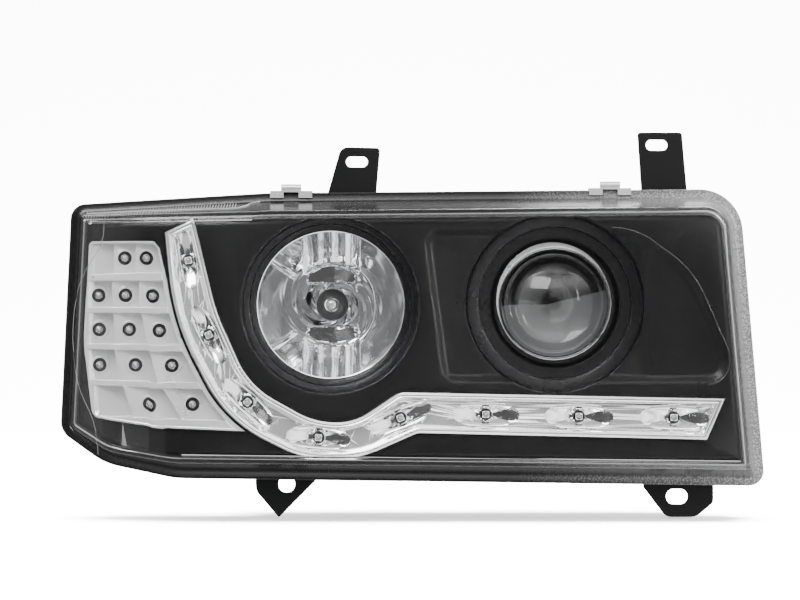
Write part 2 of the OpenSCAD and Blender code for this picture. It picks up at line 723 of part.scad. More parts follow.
module rear_cap(at) {
    turned(at, [[cap_r + 0.08, deep_back + 1], [cap_r + 2.4, deep_back + 1], [cap_r + 2.4, neck_back + 2],
        [cap_r - 2, neck_back + 10], [0, neck_back + 10], [0, neck_back + 7.6], [cap_r - 4, neck_back + 7.6],
        [cap_r + 0.08, neck_back + 0.2]]);
    translate([at.x - 6, neck_back + 9, at.y - 1.4]) cube([12, 6, 2.8]);
}
module main_rear_cap() color("#1c1c1c") rear_cap(main_at);
module dip_rear_cap() color("#1c1c1c") rear_cap(dip_at);

clip_gauge = 0.8;
// A sprung steel clip that holds the lens flange to the casing
module lens_clip(c) {
    lip = flange_front - 1.2;
    translate([c[0], 0, c[1]]) {
        translate([-12.5, lip, 0.4]) cube([25, 16.6, clip_gauge]);
        for (x = [-12.5, 4.5])
            translate([x, lip, -3]) cube([8, clip_gauge, 4]);
        translate([-9, lip + 11.8, -3]) cube([18, clip_gauge, 4]);
        difference() {
            translate([-6, lip + 2, 3.1]) rotate([0, 90, 0]) cylinder(r = 2.1, h = 12);
            translate([-7, lip + 2, 3.1]) rotate([0, 90, 0]) cylinder(r = 1.4, h = 14);
        }
    }
}
module lens_clip_outer() color("silver") lens_clip(clips[0]);
module lens_clip_inner() color("silver") lens_clip(clips[1]);

housing();
lens();
lens_seal();
bezel();
bezel_screws();
indicator_reflector();
indicator_board();
indicator_leds();
drl_reflector();
drl_board();
drl_leds();
led_leads();
upper_outer_bracket();
upper_inner_bracket();
lower_outer_bracket();
lower_inner_bracket();
bracket_screws();
pivot_stud();
leveller_motor();
leveller_seal();
connector_socket();
connector_pins();
vent_caps();
pivot_bush();
carrier_frame();
leveller_ball_socket();
adjuster_ball_socket();
main_reflector();
main_reflector_screws();
main_bulb_glass();
main_bulb_base();
main_bulb_terminal();
projector_lens();
projector_lens_ring();
projector_barrel();
cutoff_shield();
projector_reflector();
projector_screws();
dip_bulb_glass();
dip_bulb_base();
dip_bulb_terminal();
main_bulb_clip();
dip_bulb_clip();
main_rear_cap();
dip_rear_cap();
leveller_rod();
leveller_knob();
adjuster_rod();
adjuster_knob();
lens_clip_outer();
lens_clip_inner();
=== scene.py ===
import math

import bmesh
import bpy
from mathutils import Matrix, Vector
from mathutils.geometry import delaunay_2d_cdt


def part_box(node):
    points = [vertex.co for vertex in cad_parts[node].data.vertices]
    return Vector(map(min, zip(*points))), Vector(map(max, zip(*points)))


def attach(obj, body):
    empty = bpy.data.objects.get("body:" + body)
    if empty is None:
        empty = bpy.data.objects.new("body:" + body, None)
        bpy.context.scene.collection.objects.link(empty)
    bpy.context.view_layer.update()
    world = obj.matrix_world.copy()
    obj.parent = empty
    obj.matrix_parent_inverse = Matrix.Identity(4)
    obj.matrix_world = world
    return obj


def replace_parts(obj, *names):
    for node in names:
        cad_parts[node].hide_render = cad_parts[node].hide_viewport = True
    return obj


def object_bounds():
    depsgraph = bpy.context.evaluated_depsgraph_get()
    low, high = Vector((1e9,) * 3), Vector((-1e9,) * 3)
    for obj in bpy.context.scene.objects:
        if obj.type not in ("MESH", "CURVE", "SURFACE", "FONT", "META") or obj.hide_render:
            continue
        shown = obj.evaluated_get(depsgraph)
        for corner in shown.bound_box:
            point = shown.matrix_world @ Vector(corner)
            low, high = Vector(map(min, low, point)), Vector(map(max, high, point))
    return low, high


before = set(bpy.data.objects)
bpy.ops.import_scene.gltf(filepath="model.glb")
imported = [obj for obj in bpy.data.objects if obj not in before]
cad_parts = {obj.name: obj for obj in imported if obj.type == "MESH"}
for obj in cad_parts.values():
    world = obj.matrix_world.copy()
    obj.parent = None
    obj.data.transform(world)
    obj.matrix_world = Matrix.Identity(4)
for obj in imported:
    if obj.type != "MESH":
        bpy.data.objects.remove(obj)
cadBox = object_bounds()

# lengths below are millimetres in the frame's axes; meshes become metres when a piece is made
mm = 0.001
print("frame loaded:", len(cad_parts), "nodes")


def plan(place):  # a place seen from the front
    return Vector((place.x, place.z))


def inScene(name, data):
    item = bpy.data.objects.new(name, data)
    bpy.context.scene.collection.objects.link(item)
    return item


def nodeCentre(node):  # middle of a node, seen from the front
    low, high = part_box(node)
    return Vector(((low.x + high.x) / 2 / mm, (low.z + high.z) / 2 / mm))


def nodeIslands(node):  # boxes of a node's separate solids, in millimetres
    bm = bmesh.new()
    bm.from_mesh(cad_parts[node].data)
    bmesh.ops.remove_doubles(bm, verts=bm.verts, dist=1e-6)
    seen, boxes = set(), []
    for start in bm.verts:
        if start in seen:
            continue
        group, todo = [], [start]
        seen.add(start)
        while todo:
            v = todo.pop()
            group.append(v.co / mm)
            for e in v.link_edges:
                other = e.other_vert(v)
                if other not in seen:
                    seen.add(other)
                    todo.append(other)
        boxes.append((Vector([min(c[i] for c in group) for i in range(3)]),
                      Vector([max(c[i] for c in group) for i in range(3)])))
    bm.free()
    return sorted(boxes, key=lambda b: tuple(b[0]))


def lampCentres(node):  # middle of each lamp of a node, seen from the front
    return [plan((low + high) / 2) for low, high in nodeIslands(node)]


# the driving sizes that the pieces behind the lens share; outlines are corners (x, z, radius)
shell = {
    "front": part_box("lens")[0].y / mm,
    "flangeFront": -14.0,
    "flangeBack": -10.0,
    "flangeInset": 5.0,
    "faceInset": 12.0,
    "wall": 2.8,
    "edgeRound": 4.5,
    "wrapStart": -20.0,
    "wrapRadius": 190.0,
    "middle": 90.0,
    "outline": [(-66, 4, 60), (285.5, -0.5, 9), (270, 176.5, 26), (-12, 174, 300), (-128, 167, 9),
                (-134.5, 32, 12), (-108, 13, 40)],
}
mainAt = nodeCentre("main_bulb_glass")
dipAt = nodeCentre("projector_lens")


def smooth(t):
    t = max(0.0, min(1.0, t))
    return t * t * (3 - 2 * t)


def blendTo(a, b, t):
    return a + (b - a) * max(0.0, min(1.0, t))


def faceY(x):  # depth of the lens front
    start, r = shell["wrapStart"], shell["wrapRadius"]
    if x > start:
        return shell["front"]
    reach = min(start - x, r - 1)
    return shell["front"] + r - math.sqrt(r * r - reach * reach)


def rounded(corners, n=8, counts=None):
    points = []
    for i, (x, z, r) in enumerate(corners):
        p1 = Vector((x, z))
        if r < 0.5:
            points.append(p1)
            continue
        a = (Vector(corners[i - 1][:2]) - p1).normalized()
        b = (Vector(corners[(i + 1) % len(corners)][:2]) - p1).normalized()
        half = a.angle(b) / 2
        c = p1 + (a + b).normalized() * r / math.sin(half)
        s, e = p1 + a * r / math.tan(half) - c, p1 + b * r / math.tan(half) - c
        a0, a1 = math.atan2(s.y, s.x), math.atan2(e.y, e.x)
        sweep = (a1 - a0 + 3 * math.pi) % (2 * math.pi) - math.pi
        steps = counts[i] if counts else 2 * n if r > 50 else n
        points += [c + r * Vector((math.cos(a0 + sweep * k / steps), math.sin(a0 + sweep * k / steps)))
                   for k in range(steps + 1)]
    return points


def inset(corners, d):
    moved = []
    for i, (x, z, r) in enumerate(corners):
        p0, p1 = Vector(corners[i - 1][:2]), Vector((x, z))
        p2 = Vector(corners[(i + 1) % len(corners)][:2])
        u, v = (p1 - p0).normalized(), (p2 - p1).normalized()
        n1, n2 = Vector((-u.y, u.x)), Vector((-v.y, v.x))
        p = p1 + d * (n1 + n2) / (1 + n1.dot(n2))
        convex = u.x * v.y - u.y * v.x > 0
        moved.append((p.x, p.y, r if r < 0.5 else max(0.6, r - d if convex else r + d)))
    return moved


def inside(p, poly):
    hit = False
    for i, a in enumerate(poly):
        b = poly[i - 1]
        if (a[1] > p[1]) != (b[1] > p[1]) and p[0] < (b[0] - a[0]) * (p[1] - a[1]) / (b[1] - a[1]) + a[0]:
            hit = not hit
    return hit


def edgeDistance(p, poly):
    best = 1e9
    for i, b in enumerate(poly):
        a = poly[i - 1]
        dx, dz = b[0] - a[0], b[1] - a[1]
        span = dx * dx + dz * dz
        t = ((p[0] - a[0]) * dx + (p[1] - a[1]) * dz) / span if span > 1e-12 else 0.0
        t = max(0.0, min(1.0, t))
        best = min(best, math.hypot(a[0] + dx * t - p[0], a[1] + dz * t - p[1]))
    return best


def circle(at, r, n=96):
    return [Vector((at[0] + r * math.cos(2 * math.pi * k / n), at[1] + r * math.sin(2 * math.pi * k / n)))
            for k in range(n)]


def draft(y):  # how far the lens wall has moved in at depth y
    run = shell["flangeFront"] - shell["front"]
    return (shell["faceInset"] - shell["flangeInset"]) * (shell["flangeFront"] - y) / run


# the outline moved inwards in half-millimetre steps, with the same points at every step
rimSteps = [28 if r > 50 else 14 for x, z, r in shell["outline"]]
rimTable = [rounded(inset(shell["outline"], 0.5 * k), counts=rimSteps) for k in range(64)]


def rimPoint(k, d):
    i = max(0, min(len(rimTable) - 2, int(d * 2)))
    return rimTable[i][k].lerp(rimTable[i + 1][k], d * 2 - i)


def rimRing(base, off, lift=0.0, beyond=0.0):  # a loop at lift behind the face, drafted
    ring = []
    for k in range(len(rimTable[0])):
        x = rimPoint(k, base + 6).x
        for _ in range(2):
            y = faceY(x) + off + lift
            p = rimPoint(k, base + draft(y) + beyond)
            x = p.x
        ring.append(Vector((p.x, y, p.y)))
    return ring


def finished(name, mesh, body):  # a finished mesh as a piece that rides on a body
    piece = inScene(name, mesh)
    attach(piece, body)
    return piece


def newPiece(name, bm, material, body="root", sharp=30, more=()):
    mesh = bpy.data.meshes.new(name)
    bm.to_mesh(mesh)
    bm.free()
    mesh.transform(Matrix.Scale(mm, 4))
    for m in (material, *more):
        mesh.materials.append(m)
    mesh.polygons.foreach_set("use_smooth", [True] * len(mesh.polygons))
    mesh.set_sharp_from_angle(angle=math.radians(sharp))
    return finished(name, mesh, body)


def sheetMesh(loops, lines, keep, depth):  # a surface over a plan of contours, with its y from depth(x, z)
    verts, edges = [], []
    for loop in loops:
        first = len(verts)
        verts += [Vector(p) for p in loop]
        edges += [(first + k, first + (k + 1) % len(loop)) for k in range(len(loop))]
    for line in lines:
        first = len(verts)
        verts += [Vector(p) for p in line]
        edges += [(first + k, first + k + 1) for k in range(len(line) - 1)]
    points, _, faces, _, _, _ = delaunay_2d_cdt(verts, edges, [], 0, 1e-4)
    bm = bmesh.new()
    made = {}
    for face in faces:
        mid = sum((points[k] for k in face), Vector((0, 0))) / len(face)
        if not keep(mid):
            continue
        for k in face:
            if k not in made:
                p = points[k]
                made[k] = bm.verts.new((p.x, depth(p.x, p.y), p.y))
        corners = [made[k] for k in face]
        a, b, c = (points[k] for k in face[:3])
        if (b - a).x * (c - a).y - (b - a).y * (c - a).x < 0:
            corners.reverse()
        bm.faces.new(corners)
    return bm


def openEdges(bm, test=lambda c: True):
    return [e for e in bm.edges if e.is_boundary and all(test(v.co) for v in e.verts)]


def pullEdges(bm, edges, move):  # a band of faces along open edges; move places each new point
    made = bmesh.ops.extrude_edge_only(bm, edges=edges)["geom"]
    verts = [v for v in made if isinstance(v, bmesh.types.BMVert)]
    for v in verts:
        v.co = move(v.co.copy())
    kept = set(verts)
    return [e for e in made if isinstance(e, bmesh.types.BMEdge) and kept.issuperset(e.verts)]


def thicken(piece, thickness):
    wall = piece.modifiers.new("wall", "SOLIDIFY")
    wall.thickness = thickness * mm
    wall.offset = -1.0
    return piece


def bridge(bm, rows, closed=False):  # faces between rings of points, where a ring may be a single point
    faces = []
    for a, b in list(zip(rows, rows[1:])) + ([(rows[-1], rows[0])] if closed else []):
        n = max(len(a), len(b))
        for k in range(n if n > 1 else 0):
            corners = [a[k % len(a)], b[k % len(b)], b[(k + 1) % n % len(b)], a[(k + 1) % n % len(a)]]
            faces.append(bm.faces.new(list(dict.fromkeys(corners))))
    return faces


def turnedMesh(at, profile, n=96, closed=True):  # a profile of (radius, y) turned about the line through at
    bm = bmesh.new()
    rows = [[bm.verts.new((p.x, y, p.y)) for p in circle(at, r, n if r > 1e-6 else 1)] for r, y in profile]
    bridge(bm, rows, closed)
    bmesh.ops.recalc_face_normals(bm, faces=bm.faces)
    return bm


def startTree(name, **inputs):
    tree = bpy.data.node_groups.new(name, "GeometryNodeTree")
    tree.interface.new_socket("Geometry", in_out="INPUT", socket_type="NodeSocketGeometry")
    for key, value in inputs.items():
        if value is None:
            tree.interface.new_socket(key, in_out="INPUT", socket_type="NodeSocketMaterial")
            continue
        kind = "NodeSocketInt" if isinstance(value, int) else "NodeSocketFloat"
        tree.interface.new_socket(key, in_out="INPUT", socket_type=kind).default_value = value
    tree.interface.new_socket("Geometry", in_out="OUTPUT", socket_type="NodeSocketGeometry")
    return tree, tree.nodes.new("NodeGroupInput").outputs


def feed(tree, inputs, values):  # sets each input, or links it where the value is a socket
    for key, value in values.items():
        if isinstance(value, bpy.types.NodeSocket):
            tree.links.new(value, inputs[key])
        else:
            inputs[key].default_value = value


def put(tree, kind, values=None, **settings):  # adds a node and gives its outputs
    node = tree.nodes.new(kind)
    for key, value in settings.items():
        setattr(node, key, value)
    feed(tree, node.inputs, values or {})
    return node.outputs


def calc(tree, operation, a, b):
    return put(tree, "ShaderNodeMath", {0: a, 1: b}, operation=operation)[0]


def joined(tree, *parts):
    both = put(tree, "GeometryNodeJoinGeometry")[0]
    for part in parts:
        tree.links.new(part, both.node.inputs[0])
    return both


def raised(tree, part, lift):
    move = put(tree, "ShaderNodeCombineXYZ", {"Z": lift})[0]
    return put(tree, "GeometryNodeTransform", {"Geometry": part, "Translation": move})[0]


def rod(tree, sides, radius, length, lift=0.0):  # a round rod along z
    sizes = {"Vertices": sides, "Radius": radius, "Depth": length}
    return raised(tree, put(tree, "GeometryNodeMeshCylinder", sizes)["Mesh"], lift)


def hoop(tree, sides, radius, wire, lift):  # a ring of round wire about z
    ring = put(tree, "GeometryNodeCurvePrimitiveCircle", {"Resolution": 24, "Radius": radius})[0]
    section = put(tree, "GeometryNodeCurvePrimitiveCircle", {"Resolution": sides, "Radius": wire})[0]
    swept = put(tree, "GeometryNodeCurveToMesh", {"Curve": ring, "Profile Curve": section})[0]
    return raised(tree, swept, lift)


def stored(tree, name):
    return put(tree, "GeometryNodeInputNamedAttribute", {"Name": name}, data_type="FLOAT_VECTOR")["Attribute"]


def onPoints(tree, given, part, turn=None, size=(1, 1, 1)):  # the part standing on every point
    turn = turn or stored(tree, "turn")
    links = {"Points": given["Geometry"], "Instance": part, "Rotation": turn, "Scale": size}
    return put(tree, "GeometryNodeInstanceOnPoints", links)[0]


def painted(tree, part, material):
    shaded = put(tree, "GeometryNodeSetShadeSmooth", {"Geometry": part, "Shade Smooth": True})[0]
    return put(tree, "GeometryNodeSetMaterial", {"Geometry": shaded, "Material": material})[0]


def endTree(tree, part):
    out = tree.nodes.new("NodeGroupOutput")
    feed(tree, out.inputs, {0: put(tree, "GeometryNodeRealizeInstances", {"Geometry": part})[0]})
    return tree


def inMetres(sizes):  # a dictionary of sizes as the named inputs of a tree
    return {key.capitalize(): value * mm for key, value in sizes.items()}


def grow(name, tree, values, points, turns=None, body="root"):  # runs a tree on points and bakes it
    mesh = bpy.data.meshes.new(name)
    mesh.from_pydata([Vector(p) * mm for p in points], [], [])
    for key, data in (turns or {}).items():
        attribute = mesh.attributes.new(key, "FLOAT_VECTOR", "POINT")
        attribute.data.foreach_set("vector", [c for v in data for c in v])
    helper = inScene(name + "_points", mesh)
    modifier = helper.modifiers.new("grow", "NODES")
    modifier.node_group = tree
    for item in tree.interface.items_tree:
        if item.in_out == "INPUT" and item.name in values:
            modifier[item.identifier] = values[item.name]
    ready = helper.evaluated_get(bpy.context.evaluated_depsgraph_get())
    baked = bpy.data.meshes.new_from_object(ready)
    bpy.data.objects.remove(helper)
    baked.name = name
    baked.set_sharp_from_angle(angle=math.radians(32))
    return finished(name, baked, body)


def mapRange(tree, value, low, high, to=(0.0, 1.0)):
    return put(tree, "ShaderNodeMapRange", {"Value": value, "From Min": low, "From Max": high,
                                            "To Min": to[0], "To Max": to[1]})[0]


def ramped(tree, value, stops):  # colours along a value, as (position, colour)
    shade = put(tree, "ShaderNodeValToRGB", {"Fac": value})["Color"]
    marks = shade.node.color_ramp.elements
    for k, (position, colour) in enumerate(stops):
        mark = marks[k] if k < len(marks) else marks.new(position)
        mark.position = position
        mark.color = (*colour, 1)
    return shade


def paint(name, colour, rough=(0.4, 0.5), metal=0.0, grain=400.0, bump=0.0, coat=0.0, tone=0.12,
          stretch=(1, 1, 1), specular=0.5, ripple=0.0, rippleScale=30.0):
    m = bpy.data.materials.new(name)
    m.use_nodes = True
    nt = m.node_tree
    place = put(nt, "ShaderNodeTexCoord")["Object"]
    place = put(nt, "ShaderNodeMapping", {"Vector": place, "Scale": stretch})[0]
    broad = put(nt, "ShaderNodeTexNoise", {"Vector": place, "Scale": 22.0, "Detail": 5.0})["Fac"]
    dark, pale = [c * (1 - tone) for c in colour], [min(1.0, c * (1 + tone)) for c in colour]
    tones = ramped(nt, broad, [(0, dark), (1, pale)])
    surface = {"Roughness": mapRange(nt, broad, 0.0, 1.0, rough), "Base Color": tones, "Metallic": metal,
               "Specular IOR Level": specular, "Coat Weight": coat, "Coat Roughness": 0.08}
    for scale, strength, depth, detail in ((rippleScale, ripple, 0.002, 1.0), (grain, bump, 0.0002, 4.0)):
        if strength:
            height = put(nt, "ShaderNodeTexNoise", {"Vector": place, "Scale": scale, "Detail": detail})["Fac"]
            relief = {"Strength": strength, "Distance": depth, "Height": height}
            if "Normal" in surface:
                relief["Normal"] = surface["Normal"]
            surface["Normal"] = put(nt, "ShaderNodeBump", relief)[0]
    feed(nt, nt.nodes["Principled BSDF"].inputs, surface)
    return m


def clearPaint(name, colour, ior=1.5, rough=(0.0, 0.01), bump=0.0, grain=400.0):
    m = paint(name, colour, rough=rough, bump=bump, grain=grain, tone=0.01)
    nt = m.node_tree
    shader = nt.nodes["Principled BSDF"]
    feed(nt, shader.inputs, {"Transmission Weight": 1.0, "IOR": ior})
    shadow = put(nt, "ShaderNodeLightPath")["Is Shadow Ray"]  # lamps shine through to what is behind
    through = put(nt, "ShaderNodeBsdfTransparent", {"Color": (*[c * 0.95 for c in colour], 1)})[0]
    both = put(nt, "ShaderNodeMixShader", {0: shadow, 1: shader.outputs[0], 2: through})[0]
    feed(nt, nt.nodes["Material Output"].inputs, {"Surface": both})
    return m


def frostedPaintWithPaintedLight(name):  # grained rim of the clear moulding, with painted light: its colour grows paler towards the inboard end
    m = clearPaint(name, (0.95, 0.96, 0.97), ior=1.46, rough=(0.1, 0.22), bump=0.35, grain=900)
    nt = m.node_tree
    place = put(nt, "ShaderNodeTexCoord")["Object"]
    # painted light: the rim's colour brightens along x towards the inboard end
    paintedLight = mapRange(nt, put(nt, "ShaderNodeSeparateXYZ", {0: place})["X"], 0.13, 0.28, (0.025, 0.55))
    speckle = put(nt, "ShaderNodeTexVoronoi", {"Vector": place, "Scale": 900})["Distance"]
    amount = calc(nt, "MULTIPLY", paintedLight, mapRange(nt, speckle, 0.15, 0.6, (1.0, 0.35)))
    feed(nt, nt.nodes["Principled BSDF"].inputs, {"Transmission Weight": 0.3, "Base Color": amount})
    return m


bezelBlack = paint("bezel_satin_black", (0.004, 0.004, 0.0042), rough=(0.24, 0.34), grain=1100, bump=0.06,
                   specular=0.2)
casingGrain = paint("casing_grain", (0.016, 0.016, 0.017), rough=(0.42, 0.56), grain=1400, bump=0.4,
                    specular=0.4)
mirrorChrome = paint("mirror_chrome", (0.9, 0.9, 0.91), rough=(0.02, 0.06), metal=1.0, tone=0.02, ripple=0.1,
                     rippleScale=45)
# painted light: the bowl's chrome is partly diffuse and paler, standing in for bright reflections of the room
bowlChromePaintedLight = paint("bowl_chrome_painted_light", (0.95, 0.95, 0.96), rough=(0.02, 0.06), metal=0.96, tone=0.02, ripple=0.14,
                   rippleScale=50)
# painted light: partly diffuse and paler than the mirror chrome, used for the strip's rims and the main port
# rim
softChromePaintedLight = paint("soft_chrome_painted_light", (0.93, 0.93, 0.94), rough=(0.06, 0.14), metal=0.84, tone=0.03, ripple=0.2,
                   rippleScale=60)
padChrome = paint("pad_chrome", (0.72, 0.72, 0.73), rough=(0.22, 0.34), metal=0.65, tone=0.1, ripple=0.15,
                  rippleScale=70)
springSteel = paint("spring_steel", (0.74, 0.74, 0.75), rough=(0.2, 0.34), metal=0.7, grain=500, bump=0.25,
                    stretch=(1, 6, 6))
zincSteel = paint("zinc_steel", (0.6, 0.6, 0.6), rough=(0.25, 0.4), metal=1.0, grain=700, bump=0.2)
# painted shade: the projector reflector is coloured nearly black so the inside of the closed projector looks
# dark
castAluminiumPaintedShade = paint("cast_aluminium", (0.045, 0.045, 0.047), rough=(0.35, 0.5), metal=1.0, grain=600,
                      bump=0.3)
dullSteel = paint("dull_steel", (0.16, 0.16, 0.16), rough=(0.4, 0.5), metal=1.0, grain=700, bump=0.2)
barrelBlack = paint("barrel_black", (0.008, 0.008, 0.008), rough=(0.3, 0.45), grain=700, bump=0.2,
                    specular=0.3)
bracketCoat = paint("bracket_coat", (0.004, 0.004, 0.0042), rough=(0.3, 0.45), grain=500, bump=0.25,
                    specular=0.2)
sealRubber = paint("seal_rubber", (0.012, 0.012, 0.012), rough=(0.6, 0.75), grain=900, bump=0.4, specular=0.3)
carrierBlack = paint("carrier_black", (0.02, 0.02, 0.021), rough=(0.45, 0.6), grain=1000, bump=0.3,
                     specular=0.4)
nylonWhite = paint("nylon_white", (0.7, 0.69, 0.64), rough=(0.4, 0.5), grain=700, bump=0.15)
boardDark = paint("board_resist", (0.012, 0.03, 0.018), rough=(0.3, 0.4), grain=500, bump=0.1)
ledDome = paint("led_dome", (0.3, 0.3, 0.31), rough=(0.05, 0.12), metal=0.5, grain=500, bump=0.05, coat=1.0)
ledBody = paint("led_body", (0.05, 0.05, 0.052), rough=(0.25, 0.35), grain=500, bump=0.05, coat=0.4)
chipWhite = paint("chip_white", (0.75, 0.75, 0.76), rough=(0.25, 0.35), grain=600, bump=0.1)
pinBrass = paint("pin_brass", (0.72, 0.55, 0.25), rough=(0.2, 0.3), metal=1.0, grain=500, bump=0.1)
leadSkin = paint("lead_skin", (0.012, 0.012, 0.012), rough=(0.4, 0.5), grain=800, bump=0.2)
gloss = paint("bezel_gloss_black", (0.01, 0.01, 0.01), rough=(0.12, 0.2), grain=600, bump=0.05, coat=1.0)
# painted sheen: the clear ribs, crease and ridge moulded on the lens are painted grey for the light they
# catch
ribGreyPaintedSheen = paint("rib_grey_painted_sheen", (0.22, 0.22, 0.225), rough=(0.2, 0.3), grain=600, bump=0.1)
clearPlastic = clearPaint("clear_plastic", (0.99, 0.99, 0.992), ior=1.4)
frostedRimPaintedLight = frostedPaintWithPaintedLight("frosted_rim_painted_light")
lampGlass = clearPaint("lamp_glass", (0.98, 0.99, 1.0), ior=1.5)
print("materials made:", len(bpy.data.materials))


lens = {
    "roundSteps": 7, "wallSteps": 5, "stripWidth": 3.0,
    "ribs": {"from": -118.0, "to": -28.0, "pitch": 1.7, "radius": 0.4, "start": 5.4, "end": 8.6},
    "hairline": [(-106.3, 161), (-107.5, 146), (-119, 125), (-125.6, 102), (-122.6, 62), (-112, 35),
                 (-110.5, 19)],
    "topEdge": [(-134, 166.6), (-128, 167), (-12, 174), (270, 176.5)],
    "ridge": [(-118, 161.2), (-90, 162.6), (-45, 163.8), (-30, 164.2), (-24, 165.6), (-19, 168.2),
              (-12, 169.2), (20, 169.8)],
}


def alongTop(x):
    for (x0, z0), (x1, z1) in zip(lens["topEdge"], lens["topEdge"][1:]):
        if x < x1:
            return z0 + (z1 - z0) * (x - x0) / (x1 - x0)
    return lens["topEdge"][-1][1]


def onTopWall(x, z):  # the place on the outside of the lens's top wall
    down = alongTop(x) - z - shell["flangeInset"]
    run = shell["flangeFront"] - shell["front"]
    y = shell["flangeFront"] - down / (shell["faceInset"] - shell["flangeInset"]) * run
    return Vector((x, max(y, faceY(x) + 3), z))


def lensSkin(base, off, edgeRound, y0):  # rings up the wall and over the rounded edge
    rings = []
    top = rimRing(base, off, edgeRound)
    for k in range(lens["wallSteps"]):
        ring = []
        for i, p in enumerate(top):
            y = y0 + (p.y - y0) * k / lens["wallSteps"]
            q = rimPoint(i, base + draft(y))
            ring.append(Vector((q.x, y, q.y)))
        rings.append(ring)
    for k in range(lens["roundSteps"] + 1):
        a = math.pi / 2 * k / lens["roundSteps"]
        flat = rimRing(base, off, edgeRound, edgeRound * (1 - math.cos(a)))
        rings.append([Vector((p.x, faceY(p.x) + off + edgeRound * (1 - math.sin(a)), p.z)) for p in flat])
    return rings


def lensFront(bm, ring, off):  # closes a ring with strips that follow the wrap
    face = bm.faces.new(ring)
    geometry = [face, *face.edges, *face.verts]
    x = shell["wrapStart"] + 6
    while x > -134:
        cut = bmesh.ops.bisect_plane(bm, geom=geometry, plane_co=(x, 0, 0), plane_no=(1, 0, 0))
        for item in cut["geom_cut"]:
            if isinstance(item, bmesh.types.BMVert):
                item.co.y = faceY(item.co.x) + off
        geometry = [g for g in cut["geom"] if g.is_valid]
        x -= lens["stripWidth"]


def makeLens():
    bm = bmesh.new()
    wall, back, front = shell["wall"], shell["flangeBack"], shell["flangeFront"]
    flange = [(0.4, back), (0, back - 0.4), (0, front + 0.8), (0.8, front),
              (shell["flangeInset"] - 0.8, front)]
    count = range(len(rimTable[0]))
    outer = [[Vector((p.x, y, p.y)) for p in (rimPoint(k, d) for k in count)] for d, y in flange]
    outer += lensSkin(shell["flangeInset"], 0, shell["edgeRound"], front - 0.6)
    inner = lensSkin(shell["flangeInset"] + wall, wall, shell["edgeRound"] - wall * 0.6, back)
    skins = [[[bm.verts.new(p) for p in ring] for ring in rings] for rings in (outer, inner)]
    # the flange and the first wall rings take the frosted rim, with its painted light
    rim = bridge(bm, skins[0][:11]) + bridge(bm, [skins[0][0], skins[1][0]])
    for face in rim:
        face.material_index = 1
    bridge(bm, skins[0][10:])
    bridge(bm, skins[1])
    lensFront(bm, skins[0][-1], 0)
    lensFront(bm, skins[1][-1], wall)
    bmesh.ops.recalc_face_normals(bm, faces=bm.faces)
    piece = newPiece("clear_lens", bm, clearPlastic, sharp=35, more=(frostedRimPaintedLight,))
    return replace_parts(piece, "lens")


def makeLensRibs():  # fine upright ribs on the ledge of the top edge
    spec = lens["ribs"]
    sizes = {"Radius": spec["radius"] * mm}
    tree, given = startTree("lensRibs", Material=None, **sizes)
    placed = onPoints(tree, given, rod(tree, 8, given["Radius"], 1.0), size=stored(tree, "size"))
    endTree(tree, painted(tree, placed, given["Material"]))
    points, turns, lengths = [], [], []
    x = spec["from"]
    while x < spec["to"]:
        a, b = onTopWall(x, alongTop(x) - spec["start"]), onTopWall(x, alongTop(x) - spec["end"])
        points.append((a + b) / 2)
        turns.append(tuple((b - a).to_track_quat("Z", "Y").to_euler()))
        lengths.append((1, 1, (b - a).length * mm))
        x += spec["pitch"]
    return grow("lens_ribs", tree, {**sizes, "Material": ribGreyPaintedSheen}, points, {"turn": turns, "size": lengths})


def makeLine(name, places, radius, material):  # a thin raised line moulded on a piece
    curve = bpy.data.curves.new(name, "CURVE")
    curve.dimensions = "3D"
    curve.bevel_depth = radius * mm
    curve.bevel_resolution = 2
    curve.resolution_u = 10
    curve.use_fill_caps = True
    spline = curve.splines.new("BEZIER")
    spline.bezier_points.add(len(places) - 1)
    for point, place in zip(spline.bezier_points, places):
        point.co = Vector(place) * mm
        point.handle_left_type = point.handle_right_type = "AUTO"
    helper = inScene(name + "_path", curve)
    mesh = bpy.data.meshes.new_from_object(helper.evaluated_get(bpy.context.evaluated_depsgraph_get()))
    bpy.data.objects.remove(helper)
    mesh.materials.append(material)
    finished(name, mesh, "root")


makeLens()
makeLensRibs()
makeLine("lens_line", [(x, faceY(x) + shell["wall"] + 0.5, z) for x, z in lens["hairline"]], 0.14, ribGreyPaintedSheen)
makeLine("lens_ridge", [onTopWall(x, z) for x, z in lens["ridge"]], 0.6, ribGreyPaintedSheen)
print("lens made")


drlOutline = [(10, 17.4, 55), (44.6, 17.4, 58), (78, 32.2, 10), (248, 28.3, 0.4), (258.4, 52.6, 0.4),
              (67.6, 56.3, 12), (41, 38.6, 33), (18, 38.6, 46), (-20.4, 60, 50), (-39.8, 103, 120),
              (-53.1, 157.9, 0.4), (-70.2, 150, 0.4), (-65, 98, 140), (-34.3, 39.5, 80)]
signalOutline = [(-114, 41, 6), (-75.5, 35.3, 300), (0, 32.6, 0.4), (-45, 86, 0.4), (-61, 88, 0.4),
                 (-73.5, 141, 3), (-77, 145, 2), (-116, 145, 3), (-119.5, 85, 90)]
bezel = {
    "gap": 12.0, "inset": 9.0, "wall": 1.8, "edgeRound": 5.0, "lip": 1.4, "skirt": -9.0,
    "mouth": 52.0, "mainPort": 43.4, "dipPort": 38.0, "mainDepth": 8.5, "dipDepth": 8.0,
    "recessDepth": 3.0, "recessRound": 6.0, "fold": [(203, 146), (209, 60)], "foldRise": 1.6,
    "recess": [(92, 61, 10), (259, 61, 12), (262, 78, 16), (240, 128, 60), (205, 153, 40), (80, 153, 10)],
}


